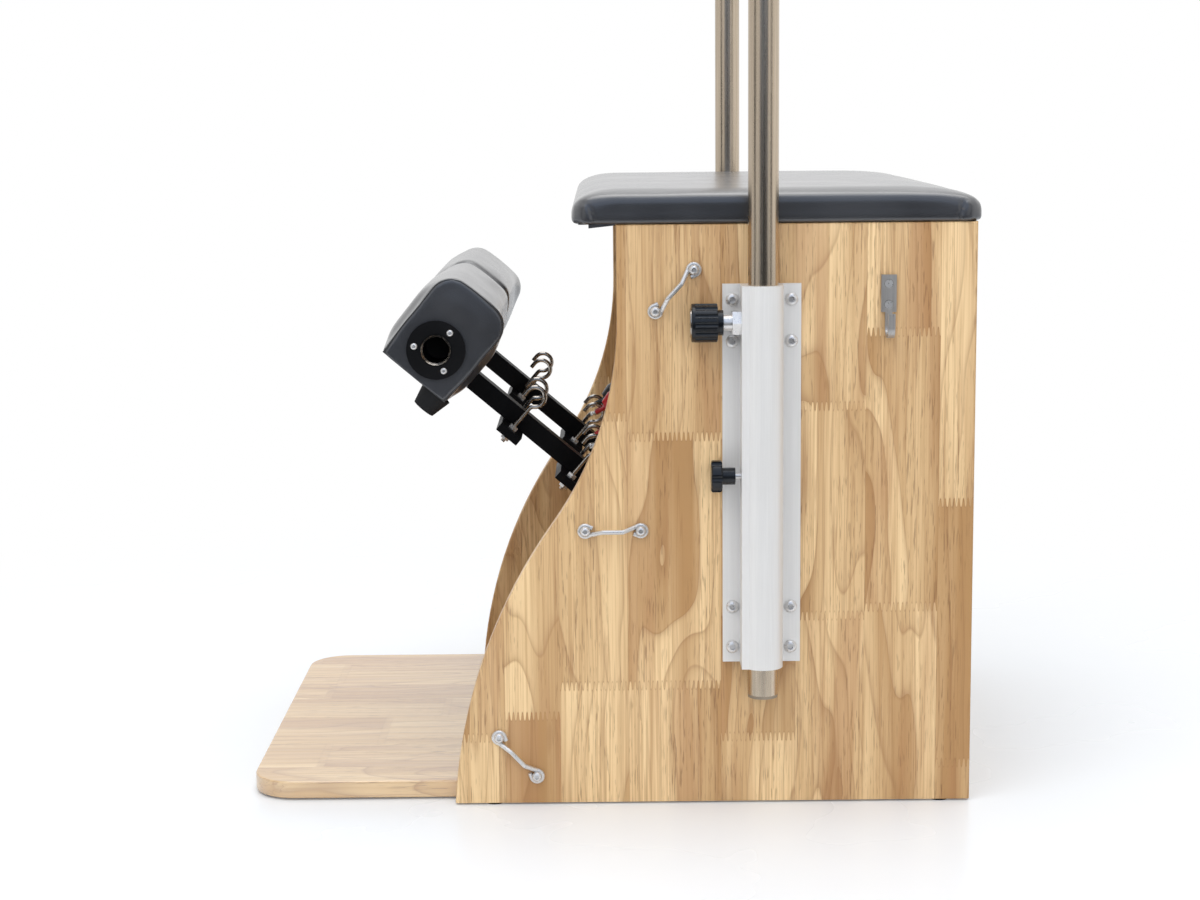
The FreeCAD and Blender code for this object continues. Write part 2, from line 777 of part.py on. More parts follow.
# Pole: an upright tube with index holes that bends forward into a handle
def pole(word, side):
    x = pole_x(side)
    low = holder_low - d.pole_below
    grip_radius = d.pole_radius + d.grip_wall
    handle_z = panel_top + d.pole_above - grip_radius
    top = handle_z - low
    body = new_body(f"pole_{word}_tube", at(x, pole_y, low))
    profile = sketch_on(body, "XY_Plane")
    circle(profile, 0, 0, "pole_radius")
    circle(profile, 0, 0, "pole_radius - pole_wall")
    spine = sketch_on(body, "YZ_Plane")
    bend = d.pole_bend
    knee = bend * (1 - math.sqrt(0.5))
    spine.addGeometry(Part.LineSegment(Vector(0, 0, 0), Vector(0, top - bend, 0)), False)
    spine.addGeometry(Part.Arc(Vector(0, top - bend, 0), Vector(-knee, top - knee, 0), Vector(-bend, top, 0)), False)
    spine.addGeometry(Part.LineSegment(Vector(-bend, top, 0), Vector(-bend - d.handle_length, top, 0)), False)
    tube = body.newObject("PartDesign::AdditivePipe", f"pole_{word}_sweep")
    tube.Profile = profile
    tube.Spine = (spine, [])
    drills = []
    for i in range(int(d.index_below) + int(d.index_above) + 1):
        z = plunger_z + (i - d.index_below) * d.index_pitch
        drills.append(rod(f"index_{word}_{i}", "index_radius", "pole_radius + 1", at(x, pole_y, z, TO_FRONT)))
    node(cut(f"pole_{word}_drilled", body, drills), f"pole_{word}")
    # Soft grip over the handle, closed at its front end
    end = pole_y - bend - d.handle_length
    sleeve = rod(f"grip_blank_{word}", "pole_radius + grip_wall", "grip_length + grip_wall",
                 at(x, end - d.grip_wall, handle_z, TO_BACK))
    room = rod(f"grip_room_{word}", "pole_radius", "grip_length + 1", at(x, end, handle_z, TO_BACK))
    soft = doc.addObject("Part::Fillet", f"grip_round_{word}")
    soft.Base = sleeve
    doc.recompute()
    rims = [i for i, e in enumerate(sleeve.Shape.Edges, start=1) if e.Curve.TypeId == "Part::GeomCircle"]
    soft.Edges = [(i, d.grip_wall * 0.8, d.grip_wall * 0.8) for i in rims]
    node(cut(f"pole_grip_{word}_bored", soft, [room]), f"pole_grip_{word}")
    lip = rod(f"plug_lip_{word}", "pole_radius", "plug_lip", at(x, pole_y, low - d.plug_lip))
    core = rod(f"plug_core_{word}", "pole_radius - pole_wall", "plug_depth", at(x, pole_y, low))
    node(fuse(f"pole_plug_{word}_whole", [lip, core]), f"pole_plug_{word}")


# Strap eye: one wire with an open loop round each bolt and a raised middle
def strap_eye():
    half = d.eye_pitch / 2
    loop = d.eye_loop
    kink = half * 0.5
    lift = d.eye_wire
    high = d.eye_wire + d.eye_rise
    lean = math.asin(loop / (half - kink))
    touch = math.pi / 2 - lean

    def spot(angle, height=lift):
        return Vector(-half + loop * math.cos(angle), loop * math.sin(angle), height)

    leave = Vector(math.cos(lean), math.sin(lean), 0)
    tail_start = spot(touch) + Vector(math.cos(lean), -math.sin(lean), 0) * d.eye_tail
    left = [Part.makeLine(tail_start, spot(touch)),
            Part.Arc(spot(touch), spot((touch + math.pi) / 2), spot(math.pi)).toShape(),
            Part.Arc(spot(math.pi), spot((3 * math.pi - touch) / 2), spot(-touch)).toShape()]
    ramp = spot(-touch) + leave * loop * 0.45
    points = [spot(-touch), ramp, Vector(-kink * 0.72, 0, high), Vector(kink * 0.72, 0, high),
              Vector(-ramp.x, -ramp.y, lift), Vector(-spot(-touch).x, -spot(-touch).y, lift)]
    middle = rounded_path(points, loop * 0.55)
    right = []
    for edge in reversed(left):
        end, start = [Vector(-v.x, -v.y, v.z) for v in (edge.valueAt(edge.FirstParameter),
                                                        edge.valueAt(edge.LastParameter))]
        if edge.Curve.TypeId == "Part::GeomLine":
            right.append(Part.makeLine(start, end))
        else:
            mid = edge.valueAt((edge.FirstParameter + edge.LastParameter) / 2)
            right.append(Part.Arc(start, Vector(-mid.x, -mid.y, mid.z), end).toShape())
    return wire_solid(left + middle + right, d.eye_wire)


def strap_eyes():
    shape = strap_eye()
    solids = []
    for y, z, tilt in eye_places():
        # The eye's plane turns from the ground to the panel's outer face
        stand = Rotation(Vector(0, 1, 0), Vector(0, 0, 1), Vector(1, 0, 0), "ZXY")
        place = at(half_width, y, z, Rotation(Vector(1, 0, 0), tilt).multiply(stand))
        near = shape.copy()
        near.Placement = place
        solids.append(near)
        solids.append(near.mirror(Vector(0, 0, 0), Vector(1, 0, 0)))
    node(loose("strap_eyes", Part.makeCompound(solids)), "strap_eyes")
    height = 2 * d.eye_wire
    top = height + d.eye_head_height
    blank = turned("eye_bolt", [(0, -d.panel_thick), (d.bolt_radius, -d.panel_thick), (d.bolt_radius, height),
                                (d.eye_head_radius, height),
                                ((d.eye_head_radius * 0.8, height + d.eye_head_height * 0.7),
                                 (d.eye_head_radius * 0.4, top)),
                                (0, top)])
    master = socketed("eye_bolt", blank, "eye_head_radius", "eye_head_height", top)
    group("strap_eye_bolts", master, [at(side * half_width, y, z, Rotation(Vector(0, 1, 0), 90 * side))
                                      for side in (LEFT, RIGHT) for y, z in eye_bolt_places()])


# Hanging hook: a flat strap with a finger that turns up
def hangers():
    top = panel_top - d.hanger_below
    y = rear - d.hanger_back
    thick = d.hanger_thick
    strap = box("hanger_strap", "hanger_thick", "hanger_width", "hanger_height",
                at(half_width, y - d.hanger_width / 2, top - d.hanger_height))
    start = Vector(half_width + (thick + d.hanger_gap) / 2, y, top - d.hanger_height * 0.9)
    low = top - d.hanger_height - d.hanger_drop
    bend = d.hanger_reach * 0.42
    path = rounded_path([start, Vector(start.x, y, low), Vector(start.x + d.hanger_reach, y, low),
                         Vector(start.x + d.hanger_reach, y, low + d.hanger_drop)], bend)
    finger = loose("hanger_finger", strip_solid(path, d.hanger_finger, thick - d.hanger_gap))
    drills = [cone(f"hanger_sink_{i}", "hanger_screw_radius", "hanger_head_radius", "hanger_thick",
                   at(half_width, yy, z, TO_RIGHT_HAND_X)) for i, (yy, z) in enumerate(hanger_screw_places())]
    whole = cut("hanger_whole", fuse("hanger_blank", [strap, finger]), drills)
    doc.recompute()
    near = whole.Shape.Solids[0]
    far = near.mirror(Vector(0, 0, 0), Vector(1, 0, 0))
    node(loose("hanging_hooks", Part.makeCompound([near, far])), "hanging_hooks")
    r = d.hanger_screw_radius
    sunk = 0.85
    rim = r + (d.hanger_head_radius - r - d.hanger_gap) * sunk
    master = turned("hanger_screw", [(0, -d.panel_thick * 0.8), (r, -d.panel_thick * 0.8), (r, 0),
                                     (rim, thick * sunk), (0, thick * sunk)])
    group("hanging_hook_screws", master, [at(side * half_width, yy, z, Rotation(Vector(0, 1, 0), 90 * side))
                                          for side in (LEFT, RIGHT) for yy, z in hanger_screw_places()])


# Axle: one shaft in four blocks screwed to the base board
def axle():
    reach = max(block_centres()) + d.block_thick / 2
    length = ("2 * (arm_offset + sleeve_length / 2 + bush_flange + block_play + block_thick)")
    node(rod("pivot_axle", "axle_radius", length, at(-reach, pivot.y, pivot.z, TO_RIGHT_HAND_X)), "pivot_axle")
    body = new_body("axle_block")
    profile = sketch_on(body, "YZ_Plane")
    half = d.block_base / 2
    low = board_top - pivot.z
    hump = d.block_hump
    outline(profile, [
        Vector(-half, low, 0), Vector(half, low, 0), Vector(half, low + d.block_foot, 0),
        Vector(hump, low + d.block_foot, 0), Vector(hump, 0, 0), (Vector(0, hump, 0), Vector(-hump, 0, 0)),
        Vector(-hump, low + d.block_foot, 0), Vector(-half, low + d.block_foot, 0)])
    circle(profile, 0, 0, "axle_radius")
    pad(body, profile, "block_thick", symmetric=True)
    holes = sketch_on(body, "XY_Plane")
    for s in (-1, 1):
        circle(holes, 0, s * d.block_screw_spread / 2, "block_screw_radius")
    pocket(body, holes)
    group("axle_blocks", body, [at(x, pivot.y, pivot.z) for x in block_centres()])
    master = button_screw("block_screw", d.block_screw_radius, d.block_foot + d.block_screw_bite,
                          "block_screw_head", "block_screw_height")
    group("axle_block_screws", master, [at(x, y, board_top + d.block_foot) for x, y in block_screw_places()])


# Pedal arm: a square tube welded to its pivot sleeve, two hook bars and the cross tube in the pad
def hook_places():
    """(x, y) of the four spring hooks of one pedal, in its own frame."""
    return [(s * d.hook_side, -reach) for reach in (d.outer_bar_reach, d.inner_bar_reach) for s in (-1, 1)]


def pedal_arm(word, side):
    frame = pedal_frame(side)

    def inside(x, y, z, turn=UPRIGHT):
        return frame.multiply(at(x, y, z, turn))

    reach = d.pad_reach - d.bore_radius
    half_pad = d.pad_length / 2 + d.disc_thick
    tube = box(f"arm_tube_{word}", "arm_size", "pad_reach - bore_radius", "arm_size",
               inside(-arm_half, -reach, -arm_half))
    sleeve = rod(f"arm_sleeve_{word}", "sleeve_radius", "sleeve_length",
                 inside(-d.sleeve_length / 2, 0, 0, TO_RIGHT_HAND_X))
    cross = rod(f"arm_cross_{word}", "bore_radius + bore_wall", "pad_length + 2 * disc_thick",
                inside(-half_pad, -d.pad_reach, d.bore_rise, TO_RIGHT_HAND_X))
    bars = []
    for label, bar_reach in (("outer", d.outer_bar_reach), ("inner", d.inner_bar_reach)):
        bars.append(box(f"{label}_bar_{word}", "2 * hook_side + 2 * bar_overhang", "bar_width", "bar_thick",
                        inside(-d.hook_side - d.bar_overhang, -bar_reach - d.bar_width / 2, bar_top - d.bar_thick)))
    hollow = box(f"arm_hollow_{word}", "arm_size - 2 * arm_wall", "pad_reach - bore_radius", "arm_size - 2 * arm_wall",
                 inside(d.arm_wall - arm_half, -reach, d.arm_wall - arm_half))
    bush_room = rod(f"sleeve_room_{word}", "bush_radius", "sleeve_length",
                    inside(-d.sleeve_length / 2, 0, 0, TO_RIGHT_HAND_X))
    bore = rod(f"cross_room_{word}", "bore_radius", "pad_length + 2 * disc_thick",
               inside(-half_pad, -d.pad_reach, d.bore_rise, TO_RIGHT_HAND_X))
    studs = [rod(f"stud_hole_{word}_{i}", "hook_wire", "bar_thick", inside(x, y, bar_top - d.bar_thick))
             for i, (x, y) in enumerate(hook_places())]
    # Welded tubes and bars meet face to face, each a solid of its own
    welded = [cut(f"arm_walls_{word}", tube, [hollow, sleeve, cross]),
              cut(f"arm_sleeve_{word}_bored", sleeve, [bush_room]),
              cut(f"arm_cross_{word}_bored", cross, [bore])]
    welded += [cut(f"{bar.Name}_drilled", bar, studs) for bar in bars]
    arm = doc.addObject("Part::Compound", f"arm_whole_{word}")
    arm.Links = welded
    node(arm, f"pedal_arm_{word}")


def pedal_bushes(word, side):
    rim = d.bush_flange
    bore = d.axle_radius + d.axle_clearance
    master = turned(f"bush_{word}", [(bore, -d.bush_length), (d.bush_radius, -d.bush_length), (d.bush_radius, 0),
                                     (d.bush_rim, 0), (d.bush_rim, rim), (bore, rim)])
    frame = pedal_frame(side)
    places = [frame.multiply(at(s * d.sleeve_length / 2, 0, 0, Rotation(Vector(0, 1, 0), 90 * s))) for s in (-1, 1)]
    group(f"pedal_bushes_{word}", master, places)


def spring_hook():
    """One hook in its own frame: z = 0 on the bar's top, the ring leans to +Y."""
    low = -d.bar_thick - d.nut_thick - d.stud_tail
    neck = d.hook_neck
    ring = d.hook_radius
    swing = math.radians(d.hook_neck_angle)
    centre = hook_ring_centre()
    bend = Vector(0, neck, d.hook_stem)

    def on_neck(angle):
        return bend + Vector(0, -neck * math.cos(angle), neck * math.sin(angle))

    def on_ring(angle):
        return centre + Vector(0, ring * math.cos(angle), ring * math.sin(angle))

    first = -swing
    last = math.pi
    steps = [first + (last - first) * i / 4 for i in range(5)]
    edges = [Part.makeLine(Vector(0, 0, low), Vector(0, 0, d.hook_stem)),
             Part.Arc(on_neck(0), on_neck(swing / 2), on_neck(swing)).toShape(),
             Part.Arc(on_ring(steps[0]), on_ring(steps[1]), on_ring(steps[2])).toShape(),
             Part.Arc(on_ring(steps[2]), on_ring(steps[3]), on_ring(steps[4])).toShape(),
             Part.makeLine(on_ring(last), on_ring(last) - Vector(0, 0, d.hook_tail))]
    return wire_solid(edges, d.hook_wire)


def hook_ring_centre():
    """Centre of a hook's ring in the hook's own frame."""
    swing = math.radians(d.hook_neck_angle)
    sum_radius = d.hook_radius + d.hook_neck
    return Vector(0, d.hook_neck - sum_radius * math.cos(swing), d.hook_stem + sum_radius * math.sin(swing))


def spring_hooks(word, side):
    frame = pedal_frame(side)
    master = loose(f"hook_{word}", spring_hook())
    places = [frame.multiply(at(x, y, bar_top)) for x, y in hook_places()]
    group(f"spring_hooks_{word}", master, places)
    blank = prism(f"nut_blank_{word}", "nut_radius", "nut_thick", Placement())
    thread = rod(f"nut_thread_{word}", "hook_wire", "nut_thick", Placement())
    nut = cut(f"nut_{word}", blank, [thread])
    spots = [frame.multiply(at(x, y, z)) for x, y in hook_places()
             for z in (bar_top, bar_top - d.bar_thick - d.nut_thick)]
    group(f"hook_nuts_{word}", nut, spots)


def cushion_wire(x, inset):
    """Outline of a pedal cushion at one place along it, drawn in by an inset."""
    base_z = d.pedal_board_thick - d.pad_drop
    edge_z = d.pad_height - d.pad_drop - d.pad_crown - inset
    base = d.pad_base_depth / 2 - inset
    wide = d.pad_depth / 2 - inset
    shoulder = wide - d.pad_crown / 2
    corner = d.pad_corner
    knee = corner * (1 - math.sqrt(0.5))
    middle_z = (base_z + edge_z - corner) / 2

    def spot(y, z):
        return Vector(x, y - d.pad_reach, z)

    arcs = [(spot(base, base_z), spot(wide, middle_z), spot(shoulder, edge_z - corner)),
            (spot(shoulder, edge_z - corner), spot(shoulder - knee, edge_z - knee), spot(shoulder - corner, edge_z)),
            (spot(shoulder - corner, edge_z), spot(0, edge_z + d.pad_crown), spot(corner - shoulder, edge_z)),
            (spot(corner - shoulder, edge_z), spot(knee - shoulder, edge_z - knee), spot(-shoulder, edge_z - corner)),
            (spot(-shoulder, edge_z - corner), spot(-wide, middle_z), spot(-base, base_z))]
    edges = [Part.makeLine(spot(-base, base_z), spot(base, base_z))]
    edges += [Part.Arc(*points).toShape() for points in arcs]
    return Part.Wire(edges)


# Pedal pad: a cushion with bulged sides and rounded top, on a thin board, round the cross tube
def pedal_pad(word, side):
    frame = pedal_frame(side)

    def inside(x, y, z, turn=UPRIGHT):
        return frame.multiply(at(x, y, z, turn))

    low = -d.pad_drop
    node(box(f"pedal_board_{word}", "pad_length - 2", "pad_base_depth", "pedal_board_thick",
             inside(1 - d.pad_length / 2, -d.pad_reach - d.pad_base_depth / 2, low)), f"pedal_board_{word}")
    half = d.pad_length / 2
    rounding = d.pad_end_round
    ends = [(half, rounding), (half - rounding * 0.13, rounding * 0.5), (half - rounding * 0.5, rounding * 0.13),
            (half - rounding, 0)]
    stations = [(-x, inset) for x, inset in ends] + [(x, inset) for x, inset in reversed(ends)]
    body = loose(f"cushion_{word}", Part.makeLoft([cushion_wire(x, inset) for x, inset in stations], True, True))
    body.Placement = frame
    bore = rod(f"cushion_bore_{word}", "bore_radius + bore_wall + soft_clearance", "pad_length + 2",
               inside(-d.pad_length / 2 - 1, -d.pad_reach, d.bore_rise, TO_RIGHT_HAND_X))
    gap = d.soft_clearance
    slot = box(f"cushion_slot_{word}", "arm_size + 2 * soft_clearance", "pad_depth", "arm_size + 2 * soft_clearance",
               inside(-arm_half - gap, -d.pad_reach, -arm_half - gap))
    node(cut(f"pedal_cushion_{word}_bored", body, [bore, slot]), f"pedal_cushion_{word}")
    # End discs round the cross tube, each with three screws
    disc = new_body(f"end_disc_{word}")
    ring = sketch_on(disc, "XY_Plane")
    circle(ring, 0, 0, "disc_radius")
    circle(ring, 0, 0, "bore_radius + bore_wall")
    angles = [math.radians(90 + 120 * i) for i in range(3)]
    for angle in angles:
        circle(ring, d.disc_screw_circle * math.cos(angle), d.disc_screw_circle * math.sin(angle), "disc_screw_radius")
    pad(disc, ring, "disc_thick")
    ends = []
    screws = []
    for s in (-1, 1):
        # The disc's own up stays the pedal's up on either end
        stand = Rotation(Vector(0, s, 0), Vector(0, 0, 1), Vector(s, 0, 0), "ZXY")
        place = inside(s * d.pad_length / 2, -d.pad_reach, d.bore_rise, stand)
        ends.append(place)
        for angle in angles:
            x, y = d.disc_screw_circle * math.cos(angle), d.disc_screw_circle * math.sin(angle)
            screws.append(place.multiply(at(x, y, d.disc_thick)))
    group(f"pedal_discs_{word}", disc, ends)
    master = button_screw(f"disc_screw_{word}", d.disc_screw_radius, d.disc_thick,
                          "disc_screw_head", "disc_screw_height")
    group(f"pedal_disc_screws_{word}", master, screws)
    node(cone(f"pedal_bumper_{word}", "bumper_radius", "bumper_tip", "bumper_height",
              inside(side * d.bumper_side, -d.bumper_reach, low, Rotation(Vector(1, 0, 0), 180))),
         f"pedal_bumper_{word}")


# Springs: anchor eyes on the rear rail, wire links with caps, and an open coil between the caps
def spring_places():
    """x of the four springs."""
    return [side * d.arm_offset + s * d.hook_side for side in (LEFT, RIGHT) for s in (-1, 1)]


def spring_line():
    """Ends of a spring at rest in the plane of its hook: upper and lower link crowns."""
    ring = hook_ring_centre()
    hook = pedal_frame(LEFT).multVec(Vector(0, ring.y - d.inner_bar_reach, ring.z + bar_top))
    hook = Vector(0, hook.y, hook.z)
    along = (hook - anchor).normalize()
    hang = d.hook_radius - d.hook_wire - d.link_wire - d.link_gap
    return anchor + along * hang, hook + along * d.hook_slack


def spring_anchors():
    ring = doc.addObject("Part::Torus", "anchor_ring")
    bind(ring, "Radius1", "hook_radius")
    bind(ring, "Radius2", "hook_wire")
    ring.Placement = at(0, anchor.y, anchor.z, TO_RIGHT_HAND_X)
    start = anchor.y + d.hook_radius
    shank = rod("anchor_shank", "hook_wire", "anchor_reach - hook_radius + anchor_bite",
                at(0, start, anchor.z, TO_BACK))
    whole = fuse("anchor_eye", [ring, shank])
    group("spring_anchors", whole, [at(x, 0, 0) for x in spring_places()])


def biarc(start, start_dir, end, end_dir):
    """Two tangent arcs between two points with given directions."""
    chord = end - start
    both = start_dir + end_dir
    a = 2 * (1 - start_dir.dot(end_dir))
    b = 2 * chord.dot(both)
    c = -chord.dot(chord)
    reach = (-b + math.sqrt(b * b - 4 * a * c)) / (2 * a)
    first = start + start_dir * reach
    last = end - end_dir * reach
    join = (first + last) * 0.5
    return [arc_from(start, start_dir, join), arc_from(join, (last - first).normalize(), end)]


def arc_from(start, direction, end):
    """Arc that leaves start in a direction and ends at end."""
    chord = end - start
    across = chord - direction * chord.dot(direction)
    across.normalize()
    angle = direction.getAngle(chord)
    radius = chord.Length / (2 * math.sin(angle))
    centre = start + across * radius
    via = centre - across * radius * math.cos(angle) + direction * radius * math.sin(angle)
    return Part.Arc(start, via, end).toShape()


def coil_solid(length):
    """One open coil about +Z from z = 0, with straight square ends."""
    wire = d.coil_wire
    turns = int(d.coil_turns)
    lead = d.coil_lead
    straight = 2 * wire
    rise = length - 2 * (lead + straight)
    pitch = rise / turns
    slope = pitch / (2 * math.pi)
    norm = math.hypot(d.coil_radius, slope)

    def on_coil(turn):
        angle = 2 * math.pi * turn
        height = straight + lead + pitch * turn
        return Vector(d.coil_radius * math.cos(angle), d.coil_radius * math.sin(angle), height)

    def heading(turn):
        angle = 2 * math.pi * turn
        return Vector(-d.coil_radius * math.sin(angle), d.coil_radius * math.cos(angle), slope) * (1 / norm)

    up = Vector(0, 0, 1)
    entry = on_coil(0) - up * lead - heading(0) * lead * 0.7
    entry.z = straight
    leave = on_coil(turns) + up * lead + heading(turns) * lead * 0.7
    leave.z = length - straight
    edges = [Part.makeLine(Vector(entry.x, entry.y, 0), entry)]
    edges += biarc(entry, up, on_coil(0), heading(0))
    for quarter in range(4 * turns):
        a, b = quarter / 4, (quarter + 1) / 4
        edges += biarc(on_coil(a), heading(a), on_coil(b), heading(b))
    edges += biarc(on_coil(turns), heading(turns), leave, up)
    edges.append(Part.makeLine(leave, Vector(leave.x, leave.y, length)))
    print(f"coil least gap between its turns {least_gap(edges, wire):.2f} mm")
    return wire_solid(edges, wire)


def least_gap(edges, wire):
    """Least clear distance between stretches of one wire that aren't neighbours."""
    points = []
    for edge in edges:
        span = edge.LastParameter - edge.FirstParameter
        points += [edge.valueAt(edge.FirstParameter + span * i / 3) for i in range(3)]
    nearest = 1e9
    for i, one in enumerate(points):
        for other in points[i + 12:i + 90]:
            nearest = min(nearest, one.distanceToPoint(other))
    return nearest - 2 * wire


def springs():
    upper, lower = spring_line()
    along = (lower - upper).normalize()
    span = (lower - upper).Length
    cap_length = d.cap_cone + d.cap_rim
    tilt = Rotation(Vector(0, 0, 1), along)
    # A link's bow lies across the hook's ring, so its legs straddle the ring's wire
    half = d.link_half
    bow = rounded_path([Vector(half, 0, d.link_length), Vector(half, 0, 0), Vector(-half, 0, 0),
                        Vector(-half, 0, d.link_length)], d.link_corner)
    link = loose("link_wire", wire_solid(bow, d.link_wire))
    taper = cone("cap_taper", "cap_tip", "cap_radius", "cap_cone", at(0, 0, d.link_length))
    rim = rod("cap_rim_ring", "cap_radius", "cap_rim", at(0, 0, d.link_length + d.cap_cone))
    end = fuse("spring_end", [link, taper, rim])
    coil_start = d.link_length + cap_length
    coil = loose("coil_master", coil_solid(span - 2 * coil_start))
    back = tilt.multiply(Rotation(Vector(1, 0, 0), 180))
    for word, side in SIDES.items():
        places = [side * d.arm_offset + s * d.hook_side for s in (-1, 1)]
        origin = [Vector(x, 0, 0) for x in places]
        group(f"spring_upper_ends_{word}", end, [Placement(upper + o, tilt) for o in origin])
        group(f"springs_{word}", coil, [Placement(upper + along * coil_start + o, tilt) for o in origin])
        group(f"spring_lower_ends_{word}", end, [Placement(lower + o, back) for o in origin])


def write_parts():
    """Test every object and write each finished piece to its own file."""
    doc.recompute()
    for obj in doc.Objects:
        if "Invalid" in obj.State or "Error" in obj.State:
            raise RuntimeError(f"{obj.Name}: {obj.State}")
    os.makedirs("parts", exist_ok=True)
    for obj in NODES:
        shape = obj.Shape
        if shape.isNull() or not shape.isValid() or not shape.Solids:
            raise RuntimeError(f"{obj.Label}: not a valid solid")
        shape.exportStep(f"parts/{obj.Label}.step")
        print(f"{obj.Label}: {len(shape.Solids)} solids, {shape.Volume / 1000:.1f} cm3")


def main():
    for word, side in SIDES.items():
        side_panel(f"side_panel_{word}", side)
        pole_holder(f"pole_holder_{word}", side)
        plunger(word, side)
        clamp(word, side)
        pole(word, side)
        pedal_arm(word, side)
        pedal_bushes(word, side)
        spring_hooks(word, side)
        pedal_pad(word, side)
    base_board()
    rails()
    feet()
    seat()
    holder_bolts()
    plunger_barrels()
    strap_eyes()
    hangers()
    axle()
    spring_anchors()
    springs()
    write_parts()


main()
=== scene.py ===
"""Pilates chair: finishes, soft goods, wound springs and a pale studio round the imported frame."""
import logging
import math
from collections.abc import Callable, Iterable
from dataclasses import dataclass, field
from enum import Enum

import bmesh
import bpy
from mathutils import Matrix, Vector


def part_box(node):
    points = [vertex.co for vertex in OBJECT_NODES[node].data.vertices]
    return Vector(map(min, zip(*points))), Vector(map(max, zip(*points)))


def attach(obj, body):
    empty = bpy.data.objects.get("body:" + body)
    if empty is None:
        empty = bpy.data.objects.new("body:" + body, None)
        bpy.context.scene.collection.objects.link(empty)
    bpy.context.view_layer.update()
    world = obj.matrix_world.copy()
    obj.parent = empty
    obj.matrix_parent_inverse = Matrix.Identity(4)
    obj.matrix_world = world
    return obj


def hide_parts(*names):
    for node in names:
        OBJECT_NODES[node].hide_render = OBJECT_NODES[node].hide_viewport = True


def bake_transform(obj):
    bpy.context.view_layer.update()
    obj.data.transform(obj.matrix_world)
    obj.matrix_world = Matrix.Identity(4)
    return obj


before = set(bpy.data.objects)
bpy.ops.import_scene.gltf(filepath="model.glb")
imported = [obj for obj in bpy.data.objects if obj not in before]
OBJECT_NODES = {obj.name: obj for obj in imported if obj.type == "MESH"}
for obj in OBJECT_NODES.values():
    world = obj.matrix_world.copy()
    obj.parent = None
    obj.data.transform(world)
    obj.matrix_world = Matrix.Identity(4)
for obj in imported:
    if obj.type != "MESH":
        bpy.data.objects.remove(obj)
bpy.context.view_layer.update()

log = logging.getLogger("pilates_chair")

Pair = tuple[float, float]
Triple = tuple[float, float, float]
Colour = Triple
Socket = bpy.types.NodeSocket
Piece = bpy.types.Object
Test = Callable[[Vector], bool]
EdgeTest = Callable[[Vector, Vector], bool]

WHITE = (1.0, 1.0, 1.0, 1.0)


class Side(Enum):
    """The two sides of the chair, by the sign of X."""

    LEFT = 1
    RIGHT = -1

    @property
    def word(self) -> str:
        """Name of the side as the nodes use it."""
        return self.name.lower()


class Grain(Enum):
    """Axes of the wood: along the fibres, across the staves, through the thickness."""

    UPRIGHT = ("Z", "Y", "X")
    FRONTWAYS = ("Y", "X", "Z")
    SIDEWAYS = ("X", "Z", "Y")


class Run(Enum):
    """Direction of drawing or brushing lines on a metal."""

    UPRIGHT = (1.0, 1.0, 0.02)
    NONE = (1.0, 1.0, 1.0)


class Graph:
    """Adds and links the nodes of one tree in short calls."""

    def __init__(self, tree: bpy.types.NodeTree) -> None:
        """Keep the tree that gets the nodes."""
        self.tree = tree

    def add(self, kind: str, inputs: dict | None = None, **settings: object) -> bpy.types.Node:
        """Add one node.

        Args:
            kind: Blender's name of the node type.
            inputs: values or sockets by input name or number.
            settings: properties of the node.

        Returns:
            The new node.
        """
        node = self.tree.nodes.new(kind)
        for name, value in settings.items():
            setattr(node, name, value)
        self.wire(node, inputs or {})
        return node

    def wire(self, node: bpy.types.Node, inputs: dict) -> None:
        """Feed several inputs of a node, with values or sockets by input name or number."""
        for key, value in inputs.items():
            self.feed(node.inputs[key], value)

    def feed(self, socket: Socket, value: object) -> None:
        """Link a socket or set its value.

        Args:
            socket: input socket.
            value: output socket to link, or a plain value.
        """
        if isinstance(value, Socket):
            self.tree.links.new(value, socket)
        else:
            socket.default_value = value

    def surface(self, shader: Socket) -> None:
        """Make a shader the surface of the graph's material."""
        self.feed(self.tree.nodes["Material Output"].inputs["Surface"], shader)

    def math(self, operation: str, a: object, b: object = 0.0, clamp: bool = False) -> Socket:
        """Result of one sum, by Blender's name for it, on two values or sockets."""
        node = self.add("ShaderNodeMath", {0: a, 1: b}, operation=operation, use_clamp=clamp)
        return node.outputs[0]

    def mix(self, factor: object, a: object, b: object) -> Socket:
        """Mix two colours.

        Args:
            factor: share of the second colour.
            a: first colour or socket.
            b: second colour or socket.

        Returns:
            The mixed colour's socket.
        """
        values = {0: factor}
        for slot, colour in ((6, a), (7, b)):
            values[slot] = colour if isinstance(colour, Socket) else (*colour, 1.0)
        return self.add("ShaderNodeMix", values, data_type="RGBA").outputs[2]

    def ramp(self, value: Socket, low: float, high: float, start: float = 0.0, end: float = 1.0) -> Socket:
        """Smooth step of a value: start at low, end at high."""
        values = {0: value, 1: low, 2: high, 3: start, 4: end}
        return self.add("ShaderNodeMapRange", values, interpolation_type="SMOOTHSTEP").outputs[0]

    def noise(self, vector: Socket, scale: float = 1.0, detail: float = 2.0, twist: float = 0.0) -> Socket:
        """Soft noise at a place, by its scale per metre, number of finer layers and distortion."""
        values = {"Vector": vector, "Scale": scale, "Detail": detail, "Distortion": twist}
        return self.add("ShaderNodeTexNoise", values).outputs[0]

    def stretch(self, vector: Socket, scale: Iterable[float]) -> Socket:
        """Scale a place or a colour by its three axes."""
        return self.add("ShaderNodeVectorMath", {0: vector, 1: tuple(scale)}, operation="MULTIPLY").outputs[0]

    def place(self) -> Socket:
        """Object coordinates, in metres."""
        return self.add("ShaderNodeTexCoord").outputs["Object"]

    def bump(self, height: Socket, depth: float) -> Socket:
        """Normal from a height of 0 to 1, whose depth is given in metres."""
        return self.add("ShaderNodeBump", {"Height": height, "Strength": 1.0, "Distance": depth}).outputs[0]


